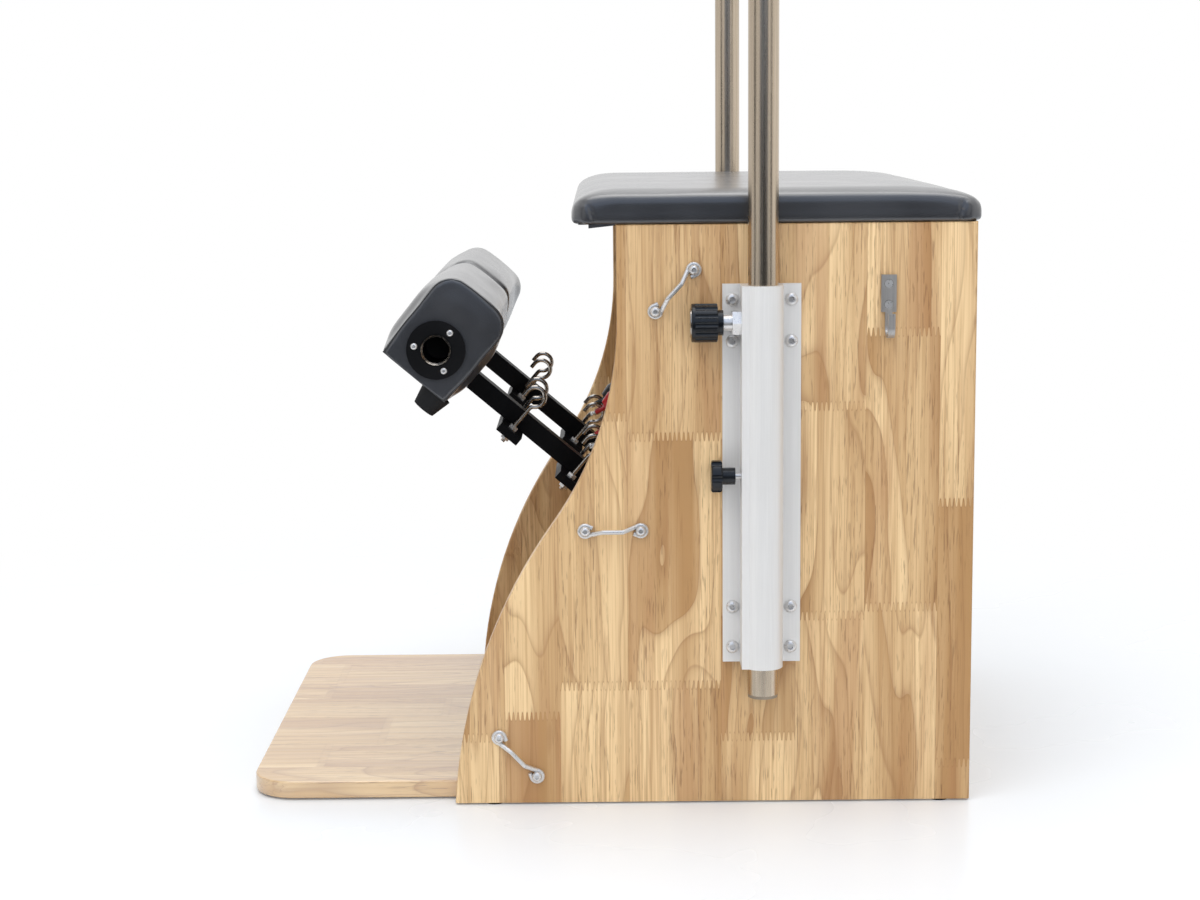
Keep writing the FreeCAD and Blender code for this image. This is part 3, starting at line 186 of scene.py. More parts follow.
def new_material(name: str) -> tuple[bpy.types.Material, Graph, bpy.types.Node]:
    """Make a material with nodes.

    Args:
        name: name of the material.

    Returns:
        The material, its graph and its Principled BSDF.
    """
    material = bpy.data.materials.new(name)
    material.use_nodes = True
    return material, Graph(material.node_tree), material.node_tree.nodes["Principled BSDF"]


def shaded(colour: Colour, factor: float) -> Colour:
    """A colour made darker or lighter by a factor, at most 1."""
    return tuple(min(1.0, part * factor) for part in colour)


class Effects:
    """Node groups that several finishes share, each built once."""

    NUMBER = "NodeSocketFloat"
    PLACE = "NodeSocketVector"
    TOOTH_PITCH = 0.0046
    TOOTH_DEPTH = 0.0085
    TOOTH_FLANK = (0.1, 0.4)
    STAVE_UNEVEN = 0.55
    BOARD_UNEVEN = 0.7
    STAVE_SHIFT = 53.7
    JOINT_LINE = (0.0004, 0.0016)
    GLUE_LINE = (0.0002, 0.0007)
    PATCH = (0.06, 0.06, 0.06)
    TONE_SCALE = 14.0
    made: dict[str, bpy.types.NodeTree] = {}

    @classmethod
    def start(cls, name: str, inputs: dict[str, str], outputs: dict[str, str]) -> tuple[Graph, dict, dict]:
        """Make an empty group with its sockets.

        Args:
            name: name of the group.
            inputs: socket types by input name.
            outputs: socket types by output name.

        Returns:
            The graph, the input sockets by name and the output sockets by name.
        """
        tree = bpy.data.node_groups.new(name, "ShaderNodeTree")
        for label, kind in inputs.items():
            tree.interface.new_socket(label, in_out="INPUT", socket_type=kind)
        for label, kind in outputs.items():
            tree.interface.new_socket(label, in_out="OUTPUT", socket_type=kind)
        graph = Graph(tree)
        entry = graph.add("NodeGroupInput")
        leave = graph.add("NodeGroupOutput")
        cls.made[name] = tree
        return graph, {k: entry.outputs[k] for k in inputs}, {k: leave.inputs[k] for k in outputs}

    @classmethod
    def use(cls, graph: Graph, name: str, inputs: dict[str, object]) -> bpy.types.NodeOutputs:
        """Place a group in a material.

        Args:
            graph: graph of the material.
            name: name of the group.
            inputs: values or sockets by input name.

        Returns:
            The output sockets of the group's node.
        """
        if name not in cls.made:
            getattr(cls, "make_" + name)()
        return graph.add("ShaderNodeGroup", inputs, node_tree=cls.made[name]).outputs

    @staticmethod
    def cells(graph: Graph, run: Socket, uneven: float) -> tuple[Socket, Socket]:
        """Cells of uneven length along a line.

        Args:
            graph: graph of the group.
            run: place along the line, in mean lengths of a cell.
            uneven: how much the lengths differ, from 0 to 1.

        Returns:
            The random colour of the cell and the distance to its nearer end.
        """
        values = {"W": run, "Scale": 1.0, "Randomness": uneven}
        cell = graph.add("ShaderNodeTexVoronoi", values, voronoi_dimensions="1D")
        edge = graph.add("ShaderNodeTexVoronoi", values, voronoi_dimensions="1D", feature="DISTANCE_TO_EDGE")
        return cell.outputs["Color"], edge.outputs["Distance"]

    @classmethod
    def make_finger_joints(cls) -> None:
        """Glued staves of short boards with toothed ends: a random colour per board and the joint lines."""
        inputs = dict.fromkeys(("Along", "Across", "Seed", "Stave Width", "Board Length"), cls.NUMBER)
        outputs = {"Board": "NodeSocketColor", "Joint": cls.NUMBER, "Glue": cls.NUMBER}
        graph, given, out = cls.start("finger_joints", inputs, outputs)
        width = given["Stave Width"]
        length = given["Board Length"]
        stave = graph.math("ADD", graph.math("DIVIDE", given["Across"], width), given["Seed"])
        tone, side = cls.cells(graph, stave, cls.STAVE_UNEVEN)
        shift = graph.add("ShaderNodeSeparateColor", {0: tone}).outputs[0]
        wave = graph.math("PINGPONG", given["Across"], cls.TOOTH_PITCH / 2)
        flank = (cls.TOOTH_PITCH * share for share in cls.TOOTH_FLANK)
        teeth = graph.ramp(wave, *flank, 0.0, cls.TOOTH_DEPTH)
        run = graph.math("DIVIDE", graph.math("ADD", given["Along"], teeth), length)
        run = graph.math("ADD", run, graph.math("MULTIPLY", shift, cls.STAVE_SHIFT))
        board, butt = cls.cells(graph, run, cls.BOARD_UNEVEN)
        graph.feed(out["Board"], board)
        graph.feed(out["Joint"], graph.ramp(graph.math("MULTIPLY", butt, length), *cls.JOINT_LINE, 1.0, 0.0))
        graph.feed(out["Glue"], graph.ramp(graph.math("MULTIPLY", side, width), *cls.GLUE_LINE, 1.0, 0.0))

    @classmethod
    def make_drawn_lines(cls) -> None:
        """Fine parallel lines with soft patches, for drawn tube, extrusions and brushed steel."""
        graph, given, out = cls.start("drawn_lines", {"Place": cls.PLACE, "Fineness": cls.NUMBER},
                                      {"Lines": cls.NUMBER, "Patches": cls.NUMBER})
        scaled = graph.add("ShaderNodeVectorMath", {0: given["Place"], "Scale": given["Fineness"]},
                           operation="SCALE").outputs[0]
        graph.feed(out["Lines"], graph.noise(scaled, detail=3.0))
        graph.feed(out["Patches"], graph.noise(graph.stretch(scaled, cls.PATCH)))

    @classmethod
    def make_fine_grain(cls) -> None:
        """Moulded or powder-coated skin: fine pebbles and a slow change of tone."""
        graph, given, out = cls.start("fine_grain", {"Place": cls.PLACE, "Pebble": cls.NUMBER},
                                      {"Height": cls.NUMBER, "Tone": cls.NUMBER})
        rate = graph.math("DIVIDE", 1.0, given["Pebble"])
        pebbles = graph.add("ShaderNodeTexVoronoi", {"Vector": given["Place"], "Scale": rate},
                            feature="SMOOTH_F1")
        graph.feed(out["Height"], pebbles.outputs["Distance"])
        graph.feed(out["Tone"], graph.noise(given["Place"], cls.TONE_SCALE, 3.0))


@dataclass(frozen=True)
class Finish:
    """A surface finish with a name; its material is made once."""

    name: str

    def make(self) -> bpy.types.Material:
        """Build the finish's material on first use.

        Returns:
            The material.
        """
        found = bpy.data.materials.get(self.name)
        if found:
            return found
        material, graph, shader = new_material(self.name)
        self.paint(graph, shader)
        return material

    def paint(self, graph: Graph, shader: bpy.types.Node) -> None:
        """Wire the finish to the Principled BSDF of its material."""
        raise NotImplementedError

    def dress(self, *pieces: Piece) -> None:
        """Give pieces this finish alone.

        Args:
            pieces: objects to dress.
        """
        for piece in pieces:
            piece.data.materials.clear()
            piece.data.materials.append(self.make())

    def dress_nodes(self, *names: str) -> None:
        """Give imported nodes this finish, by their names."""
        self.dress(*(OBJECT_NODES[name] for name in names))


@dataclass(frozen=True)
class Wood(Finish):
    """Clear lacquered finger-jointed hardwood."""

    grain: Grain = Grain.UPRIGHT
    pale: Colour = (0.84, 0.61, 0.335)
    tan: Colour = (0.44, 0.245, 0.095)
    streak: Colour = (0.40, 0.19, 0.075)
    late: Colour = (0.30, 0.14, 0.05)
    pore: Colour = (0.16, 0.067, 0.024)
    stave: float = 0.075
    board: float = 0.25
    lacquer: float = 0.12
    lacquer_ior: float = 1.5
    lacquer_rough: float = 0.18
    specular: float = 0.36
    relief: float = 0.00012
    # Each figure's scale per metre across, along and through the board
    swirl_scale: Triple = (12.0, 2.4, 12.0)
    band_scale: Triple = (30.0, 1.1, 30.0)
    fibre_scale: Triple = (430.0, 6.0, 430.0)
    vein_scale: Triple = (95.0, 1.6, 95.0)
    dash_scale: Triple = (760.0, 42.0, 760.0)
    patch_scale: Triple = (45.0, 2.0, 45.0)
    streak_scale: Triple = (22.0, 1.3, 22.0)
    # Rings in the swirl of a flat-sawn and a quarter-sawn board, and straight rings per metre
    flat_rings: float = 11.0
    quarter_rings: float = 4.0
    straight_rings: float = 70.0
    # Shares of each mark in the colour
    board_share: float = 0.50
    level_share: float = 0.75
    streak_share: float = 0.5
    fibre_share: float = 0.48
    late_share: float = 0.46
    vein_share: float = 0.30
    dash_share: float = 0.45
    joint_share: float = 0.30
    glue_share: float = 0.20
    # Offsets that set faces, boards and rings apart in the noise
    face_apart: float = 4.37
    board_apart: Triple = (31.0, 47.0, 23.0)
    ring_apart: float = 91.0

    def paint(self, graph: Graph, shader: bpy.types.Node) -> None:
        """Wire staves, figure, fibres and pores to the shader.

        Args:
            graph: graph of the material.
            shader: its Principled BSDF.
        """
        parts = graph.add("ShaderNodeSeparateXYZ", {0: graph.place()}).outputs
        along, across, through = (parts[axis] for axis in self.grain.value)
        seed = graph.math("MULTIPLY", graph.math("GREATER_THAN", through, 0.0), self.face_apart)
        joints = Effects.use(graph, "finger_joints", {
            "Along": along, "Across": across, "Seed": seed,
            "Stave Width": self.stave, "Board Length": self.board})
        board = graph.add("ShaderNodeSeparateColor", {0: joints["Board"]}).outputs
        apart = graph.stretch(joints["Board"], self.board_apart)
        local = graph.add("ShaderNodeCombineXYZ", {0: across, 1: along, 2: through}).outputs[0]

        def figure(scale: Triple, detail: float, twist: float = 0.0) -> Socket:
            """Noise in the board's own part of space, stretched by its axes."""
            spot = graph.add("ShaderNodeVectorMath", {0: graph.stretch(local, scale), 1: apart},
                             operation="ADD")
            return graph.noise(spot.outputs[0], 1.0, detail, twist)

        # Growth rings: contours of a slow swirl on flat-sawn boards, near straight lines on quarter-sawn ones
        straight = graph.ramp(board[2], 0.35, 0.75)
        swirl = figure(self.swirl_scale, 1.5, 0.3)
        count = graph.ramp(straight, 0.0, 1.0, self.flat_rings, self.quarter_rings)
        lines = graph.math("MULTIPLY", graph.math("MULTIPLY", across, straight), self.straight_rings)
        rings = graph.math("ADD", graph.math("MULTIPLY", swirl, count), lines)
        shift = graph.math("MULTIPLY", board[0], self.ring_apart)
        number = graph.math("ADD", graph.math("FLOOR", rings), shift)
        level = graph.add("ShaderNodeTexWhiteNoise", {"W": number}, noise_dimensions="1D").outputs["Value"]
        part = graph.math("FRACT", rings)
        late = graph.math("MAXIMUM", graph.math("POWER", part, 9.0), graph.ramp(part, 0.0, 0.06, 0.7, 0.0))
        # Bands, fibres, veins and the dashes of open pores
        bands = graph.ramp(figure(self.band_scale, 2.0), 0.34, 0.68, -0.19, 0.48)
        fibres = figure(self.fibre_scale, 3.0)
        veins = graph.math("ABSOLUTE", graph.math("SUBTRACT", figure(self.vein_scale, 2.0, 0.2), 0.5))
        veins = graph.ramp(veins, 0.004, 0.02, 1.0, 0.0)
        dashes = graph.math("MULTIPLY", graph.ramp(figure(self.dash_scale, 2.0), 0.57, 0.68),
                            graph.ramp(figure(self.patch_scale, 2.0), 0.33, 0.58))
        # Colour from the board's own tone to the darkest pores
        tone = graph.math("ADD", graph.math("MULTIPLY", board[1], self.board_share), bands)
        step = graph.math("MULTIPLY", graph.math("SUBTRACT", level, 0.4), self.level_share)
        tint = graph.mix(graph.math("ADD", tone, step, clamp=True), self.pale, self.tan)
        streaks = figure(self.streak_scale, 3.0, 0.9)
        tint = graph.mix(graph.ramp(streaks, 0.49, 0.64, 0.0, self.streak_share), tint, self.streak)
        tint = graph.mix(graph.ramp(fibres, 0.40, 0.70, 0.0, self.fibre_share), tint, self.tan)
        for mask, share, colour in ((late, self.late_share, self.late), (veins, self.vein_share, self.late),
                                    (dashes, self.dash_share, self.pore),
                                    (joints["Joint"], self.joint_share, self.late),
                                    (joints["Glue"], self.glue_share, self.late)):
            tint = graph.mix(graph.math("MULTIPLY", mask, share), tint, colour)
        relief = graph.math("SUBTRACT", fibres, graph.math("MULTIPLY", dashes, 1.4))
        graph.wire(shader, {
            "Base Color": tint, "Roughness": graph.ramp(fibres, 0.3, 0.7, 0.40, 0.54),
            "Normal": graph.bump(relief, self.relief), "Specular IOR Level": self.specular,
            "Coat Weight": self.lacquer, "Coat Roughness": self.lacquer_rough, "Coat IOR": self.lacquer_ior})


@dataclass(frozen=True)
class Vinyl(Finish):
    """Upholstery vinyl with a pebbled skin and soft sheen."""

    base: Colour = (0.0195, 0.0206, 0.0245)
    pebble: float = 0.0011
    relief: float = 0.00009
    lighter: float = 1.35
    crease: Triple = (26.0, 26.0, 40.0)
    crease_share: float = 2.2
    specular: float = 0.6
    sheen: float = 0.95
    sheen_rough: float = 0.24

    def paint(self, graph: Graph, shader: bpy.types.Node) -> None:
        """Wire pebbles, creases and tone to the shader.

        Args:
            graph: graph of the material.
            shader: its Principled BSDF.
        """
        place = graph.place()
        skin = Effects.use(graph, "fine_grain", {"Place": place, "Pebble": self.pebble})
        tone = skin["Tone"]
        creases = graph.noise(graph.stretch(place, self.crease), 1.0, 4.0, 0.6)
        height = graph.math("ADD", skin["Height"], graph.math("MULTIPLY", creases, self.crease_share))
        graph.wire(shader, {
            "Base Color": graph.mix(graph.ramp(tone, 0.35, 0.7), self.base, shaded(self.base, self.lighter)),
            "Roughness": graph.ramp(tone, 0.3, 0.7, 0.36, 0.46), "Normal": graph.bump(height, self.relief),
            "Specular IOR Level": self.specular,
            "Coat Weight": self.sheen, "Coat Roughness": self.sheen_rough})


@dataclass(frozen=True)
class Metal(Finish):
    """Bare metal with drawing lines."""

    base: Colour = (0.7, 0.7, 0.7)
    rough: float = 0.25
    spread: float = 0.1
    run: Run = Run.NONE
    fineness: float = 900.0
    relief: float = 0.00001
    darker: float = 0.86
    bare: float = 1.0

    def paint(self, graph: Graph, shader: bpy.types.Node) -> None:
        """Wire the lines to colour, gloss and relief.

        Args:
            graph: graph of the material.
            shader: its Principled BSDF.
        """
        place = graph.stretch(graph.place(), self.run.value)
        lines = Effects.use(graph, "drawn_lines", {"Place": place, "Fineness": self.fineness})
        fine = lines["Lines"]
        mask = graph.ramp(graph.math("ADD", fine, lines["Patches"]), 0.75, 1.25)
        half = self.spread / 2
        graph.wire(shader, {
            "Base Color": graph.mix(mask, shaded(self.base, self.darker), self.base),
            "Roughness": graph.ramp(fine, 0.3, 0.7, self.rough - half, self.rough + half),
            "Normal": graph.bump(fine, self.relief), "Metallic": self.bare})


@dataclass(frozen=True)
class Coated(Finish):
    """Moulded plastic, rubber or a powder coat: one colour with a pebbled skin."""

    base: Colour = (0.02, 0.02, 0.02)
    rough: float = 0.4
    pebble: float = 0.0006
    relief: float = 0.00004
    specular: float = 0.5
    spread: float = 0.12
    darker: float = 0.8
    lighter: float = 1.3

    def paint(self, graph: Graph, shader: bpy.types.Node) -> None:
        """Wire skin and tone to the shader.

        Args:
            graph: graph of the material.
            shader: its Principled BSDF.
        """
        skin = Effects.use(graph, "fine_grain", {"Place": graph.place(), "Pebble": self.pebble})
        tone = skin["Tone"]
        half = self.spread / 2
        tint = graph.mix(graph.ramp(tone, 0.35, 0.7), shaded(self.base, self.darker),
                         shaded(self.base, self.lighter))
        graph.wire(shader, {
            "Base Color": tint, "Roughness": graph.ramp(tone, 0.3, 0.7, self.rough - half, self.rough + half),
            "Normal": graph.bump(skin["Height"], self.relief), "Specular IOR Level": self.specular})


@dataclass(frozen=True)
class SpringEnd(Coated):
    """Coloured cap on a bare wire link: red on the inner springs, black on the outer ones."""

    base: Colour = (0.012, 0.012, 0.013)
    rough: float = 0.34
    red: Colour = (0.42, 0.012, 0.014)
    wire: Colour = (0.62, 0.60, 0.57)
    inner_limit: float = 0.125
    along: Triple = (0.0, 1.0, 0.0)
    first: float = 0.0
    last: float = 1.0

    def paint(self, graph: Graph, shader: bpy.types.Node) -> None:
        """Wire cap colours and the bare link to the shader.

        Args:
            graph: graph of the material.
            shader: its Principled BSDF.
        """
        super().paint(graph, shader)
        place = graph.place()
        side = graph.math("ABSOLUTE", graph.add("ShaderNodeSeparateXYZ", {0: place}).outputs[0])
        inner = graph.math("LESS_THAN", side, self.inner_limit)
        run = graph.add("ShaderNodeVectorMath", {0: place, 1: self.along}, operation="DOT_PRODUCT")
        run = run.outputs["Value"]
        bare = graph.math("MAXIMUM", graph.math("LESS_THAN", run, self.first),
                          graph.math("GREATER_THAN", run, self.last))
        skin = shader.inputs["Base Color"].links[0].from_socket
        tint = graph.mix(bare, graph.mix(inner, skin, self.red), self.wire)
        graph.wire(shader, {"Base Color": tint, "Metallic": bare})


class Shop:
    """The finishes of this chair."""

    upright_wood = Wood("panel_wood", Grain.UPRIGHT)
    board_wood = Wood("board_wood", Grain.FRONTWAYS, pale=(0.77, 0.54, 0.27), tan=(0.58, 0.355, 0.145),
                      stave=0.085, board=0.38, lacquer=1.0, lacquer_ior=2.3)
    rail_wood = Wood("rail_wood", Grain.SIDEWAYS, board=0.3)
    vinyl = Vinyl("charcoal_vinyl")
    cord = Vinyl("welt_cord", (0.006, 0.0062, 0.007))
    aluminium = Metal("satin_aluminium", (0.735, 0.727, 0.715), 0.42, 0.08, Run.UPRIGHT, 700.0,
                      0.000006, 0.95, 0.2)
    # The pole tube's warm brown base colour is a painted reflection of the wood. The polished steel itself is
    # near neutral.
    tube = Metal("polished_tube", (0.60, 0.50, 0.385), 0.26, 0.1, Run.UPRIGHT, 260.0, 0.00001, 0.72)
    bright = Metal("bright_plate", (0.72, 0.71, 0.70), 0.3, 0.06, Run.NONE, 500.0, 0.000003, 0.92, 0.75)
    brushed = Metal("brushed_plate", (0.44, 0.425, 0.41), 0.34, 0.14, Run.UPRIGHT, 800.0, 0.00001, 0.8, 0.6)
    hook_steel = Metal("hook_steel", (0.52, 0.47, 0.41), 0.2, 0.14, Run.NONE, 500.0, 0.00001, 0.7)
    spring_steel = Metal("spring_steel", (0.55, 0.55, 0.56), 0.26, 0.14, Run.NONE, 400.0, 0.00001, 0.75)
    bronze = Metal("bearing_bronze", (0.60, 0.40, 0.20), 0.34, 0.12, Run.NONE, 500.0)
    powder = Coated("gloss_powder_coat", (0.004, 0.004, 0.0045), 0.42, 0.0012, 0.00003, specular=0.08)
    plastic = Coated("black_moulding", (0.005, 0.0065, 0.009), 0.28, 0.0005, 0.00003, specular=0.4)
    plug = Coated("plug_moulding", (0.27, 0.225, 0.17), 0.4, 0.0005, 0.00003, specular=0.3)
    red = Coated("red_moulding", (0.36, 0.010, 0.012), 0.34, 0.0005, 0.00003)
    disc = Coated("matt_disc", (0.004, 0.004, 0.0045), 0.5, 0.0005, 0.00003, specular=0.15)
    board_black = Coated("black_board", (0.007, 0.007, 0.0075), 0.48, 0.0009, 0.00004, specular=0.25)
    rubber = Coated("matt_rubber", (0.008, 0.008, 0.0085), 0.68, 0.0007, 0.00006, specular=0.2)
    foam = Coated("grip_foam", (0.022, 0.022, 0.023), 0.82, 0.0013, 0.00025, specular=0.2)


def dress_side(side: Side, finishes: dict[str, Finish]) -> None:
    """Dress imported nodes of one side, with finishes by the nodes' names before the side's word."""
    for stem, finish in finishes.items():
        finish.dress_nodes(f"{stem}_{side.word}")


def fit(piece: Piece, finish: Finish, body: str) -> None:
    """Dress a new piece, ride it on its body and report it.

    Args:
        piece: finished piece.
        finish: its finish.
        body: body that it rides on.
    """
    finish.dress(piece)
    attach(piece, body)
    log.info("%s made, on %s", piece.name, body)


def smooth_step(value: float, low: float, high: float) -> float:
    """Smooth change from 0 at low to 1 at high."""
    share = min(1.0, max(0.0, (value - low) / (high - low)))
    return share * share * (3.0 - 2.0 * share)


class Bench:
    """Hand tools: short calls to Blender's operators."""

    # Angles in degrees below which rigid, bored and soft pieces are shaded smooth
    RIGID = 40.0
    BORED = 50.0
    SOFT = 60.0
    # Cloth of the filled covers, and passes that even out its swelling
    CLOTH_QUALITY = 5
    CLOTH_MASS = 0.3
    CLOTH_FRAMES = 20
    EVEN_ROUNDS = 8
    SAME = 1e-6

    @staticmethod
    def take(*pieces: Piece) -> None:
        """Select these pieces alone and make the first one active.

        Args:
            pieces: objects to select.
        """
        bpy.ops.object.select_all(action="DESELECT")
        for piece in pieces:
            piece.select_set(True)
        bpy.context.view_layer.objects.active = pieces[0] if pieces else None

    @staticmethod
    def named(name: str) -> Piece:
        """Name the active object and settle its place into its mesh.

        Args:
            name: name of the piece.

        Returns:
            The active object.
        """
        piece = bpy.context.active_object
        piece.name = name
        piece.data.name = name
        bpy.ops.object.transform_apply(location=True, rotation=True, scale=True)
        return piece

    @classmethod
    def block(cls, name: str, low: Vector, high: Vector) -> Piece:
        """Add a box between two corners.

        Args:
            name: name of the piece.
            low: lowest corner.
            high: highest corner.

        Returns:
            The new object.
        """
        cls.take()
        bpy.ops.mesh.primitive_cube_add(size=1.0, location=(low + high) / 2)
        bpy.context.active_object.scale = high - low
        return cls.named(name)

    @classmethod
    def drum(cls, name: str, centre: Vector, radius: float, length: float, axis: str,
             sides: int = 48) -> Piece:
        """Add a round bar along one axis.

        Args:
            name: name of the piece.
            centre: its middle.
            radius: its radius.
            length: its length.
            axis: X, Y or Z.
            sides: number of flats.

        Returns:
            The new object.
        """
        right = math.pi / 2
        turn = {"X": (0.0, right, 0.0), "Y": (right, 0.0, 0.0), "Z": (0.0, 0.0, 0.0)}[axis]
        cls.take()
        bpy.ops.mesh.primitive_cylinder_add(vertices=sides, radius=radius, depth=length, location=centre,
                                            rotation=turn)
        return cls.named(name)

    @classmethod
    def rounded_bar(cls, name: str, centre: Vector, radius: float, length: float, axis: str,
                    edge: float) -> Piece:
        """Make a round bar with rounded rims.

        Args:
            name: name of the piece.
            centre: its middle.
            radius: its radius.
            length: its length.
            axis: X, Y or Z.
            edge: radius of the rims.

        Returns:
            The new object.
        """
        bar = cls.drum(name, centre, radius, length, axis)
        at = "XYZ".index(axis)
        cls.round_edges(bar, lambda a, b: abs(a[at] - b[at]) < cls.SAME, edge, 3)
        return cls.smooth(bar)

    @classmethod
    def round_edges(cls, piece: Piece, test: EdgeTest, radius: float, steps: int) -> None:
        """Bevel the edges whose ends pass a test.

        Args:
            piece: object to round.
            test: takes the two ends of an edge.
            radius: width of the bevel.
            steps: number of facets.
        """
        cls.take(piece)
        bpy.ops.object.mode_set(mode="EDIT")
        bpy.ops.mesh.select_mode(type="EDGE")
        bpy.ops.mesh.select_all(action="DESELECT")
        mesh = bmesh.from_edit_mesh(piece.data)
        for edge in mesh.edges:
            if test(edge.verts[0].co, edge.verts[1].co):
                edge.select_set(True)
        bmesh.update_edit_mesh(piece.data)
        bpy.ops.mesh.bevel(offset=radius, segments=steps, profile=0.5, affect="EDGES", clamp_overlap=True)
        bpy.ops.object.mode_set(mode="OBJECT")

    @classmethod
    def apply(cls, piece: Piece, kind: str, **settings: object) -> None:
        """Add one modifier and apply it.

        Args:
            piece: object to change.
            kind: Blender's name of the modifier.
            settings: properties of the modifier.
        """
        cls.take(piece)
        modifier = piece.modifiers.new(kind.lower(), kind)
        for name, value in settings.items():
            setattr(modifier, name, value)
        bpy.ops.object.modifier_apply(modifier=modifier.name)

    @classmethod
    def cut(cls, piece: Piece, *tools: Piece) -> None:
        """Cut tools out of a piece and throw them away.

        Args:
            piece: object to cut.
            tools: closed shapes.
        """
        for tool in tools:
            cls.apply(piece, "BOOLEAN", operation="DIFFERENCE", solver="EXACT", object=tool)
            bpy.data.objects.remove(tool)

    @classmethod
    def join(cls, name: str, pieces: list[Piece]) -> Piece:
        """Join pieces into one object.

        Args:
            name: name of the whole.
            pieces: objects to join.

        Returns:
            The joined object.
        """
        cls.take(*pieces)
        bpy.ops.object.join()
        return cls.named(name)

    @classmethod
    def copy(cls, piece: Piece, name: str, move: Matrix) -> Piece:
        """Copy a piece with its own mesh and move the copy into place.

        Args:
            piece: object to copy.
            name: name of the copy.
            move: where it goes.

        Returns:
            The copy.
        """
        cls.take(piece)
        bpy.ops.object.duplicate(linked=False)
        bpy.context.active_object.matrix_world = move
        return cls.named(name)

    @classmethod
    def smooth(cls, piece: Piece, angle: float = RIGID) -> Piece:
        """Shade a piece smooth.

        Args:
            piece: object to shade.
            angle: angle in degrees from which an edge stays sharp.

        Returns:
            The same object.
        """
        cls.take(piece)
        bpy.ops.object.shade_smooth_by_angle(angle=math.radians(angle))
        return piece

    @staticmethod
    def even_out(piece: Piece, values: list[float], rounds: int) -> list[float]:
        """Average a value over neighbouring points.

        Args:
            piece: object whose edges join the points.
            values: one value per point.
            rounds: number of passes.

        Returns:
            The averaged values.
        """
        pairs = [tuple(edge.vertices) for edge in piece.data.edges]
        for _ in range(rounds):
            total = list(values)
            count = [1] * len(values)
            for a, b in pairs:
                total[a] += values[b]
                total[b] += values[a]
                count[a] += 1
                count[b] += 1
            values = [whole / number for whole, number in zip(total, count)]
        return values

    @classmethod
    def blow_up(cls, piece: Piece, held: Test, pressure: float) -> None:
        """Let a cover swell as a cloth under pressure.

        Args:
            piece: cover with an even mesh.
            held: true for the points that are fixed down.
            pressure: pressure inside the cover.
        """
        pinned = piece.vertex_groups.new(name="held")
        pinned.add([vert.index for vert in piece.data.vertices if held(vert.co)], 1.0, "REPLACE")
        cls.take(piece)
        cloth = piece.modifiers.new("cover", "CLOTH")
        cloth.settings.quality = cls.CLOTH_QUALITY
        cloth.settings.mass = cls.CLOTH_MASS
        cloth.settings.use_pressure = True
        cloth.settings.uniform_pressure_force = pressure
        cloth.settings.vertex_group_mass = "held"
        cloth.settings.effector_weights.gravity = 0.0
        cloth.point_cache.frame_start = 1
        cloth.point_cache.frame_end = cls.CLOTH_FRAMES
        for step in range(1, cls.CLOTH_FRAMES + 1):
            bpy.context.scene.frame_set(step)
        bpy.ops.object.modifier_apply(modifier="cover")
        bpy.context.scene.frame_set(1)
        piece.vertex_groups.clear()

    @classmethod
    def stuff(cls, piece: Piece, voxel: float, cap: float, held: Test, pressure: float = 4.0) -> None:
        """Fill a pad: even mesh, swollen cover of which only the outward movement is kept, one subdivision.

        Args:
            piece: closed shape, a little smaller than the filled pad.
            voxel: mesh size of the cover.
            cap: furthest that a point may move outward.
            held: true for the points that are fixed down.
            pressure: pressure inside the cover.
        """
        cls.apply(piece, "REMESH", mode="VOXEL", voxel_size=voxel)
        rest = [vert.co.copy() for vert in piece.data.vertices]
        outward = [vert.normal.copy() for vert in piece.data.vertices]
        cls.blow_up(piece, held, pressure)
        swell = [min(cap, max(0.0, (vert.co - start).dot(normal)))
                 for vert, start, normal in zip(piece.data.vertices, rest, outward)]
        swell = cls.even_out(piece, swell, cls.EVEN_ROUNDS)
        for vert, start, normal, rise in zip(piece.data.vertices, rest, outward, swell):
            vert.co = start + normal * rise
        cls.apply(piece, "SUBSURF", levels=1, render_levels=1)


@dataclass
class Carcass:
    """Wooden frame, its rails, feet and small fittings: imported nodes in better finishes."""

    def build(self) -> None:
        """Dress the nodes of the frame."""
        Shop.upright_wood.dress_nodes("side_panel_left", "side_panel_right")
        Shop.board_wood.dress_nodes("base_board")
        Shop.rail_wood.dress_nodes("front_rail", "rear_rail", "spring_rail")
        Shop.rubber.dress_nodes("rubber_feet")
        Shop.board_black.dress_nodes("seat_board")
        Shop.bright.dress_nodes("strap_eyes", "strap_eye_bolts", "hanging_hook_screws", "holder_bolts",
                                "plunger_barrels", "pivot_axle", "axle_block_screws")
        Shop.brushed.dress_nodes("hanging_hooks")
        Shop.powder.dress_nodes("axle_blocks")
        Shop.hook_steel.dress_nodes("spring_anchors")
        log.info("frame dressed")


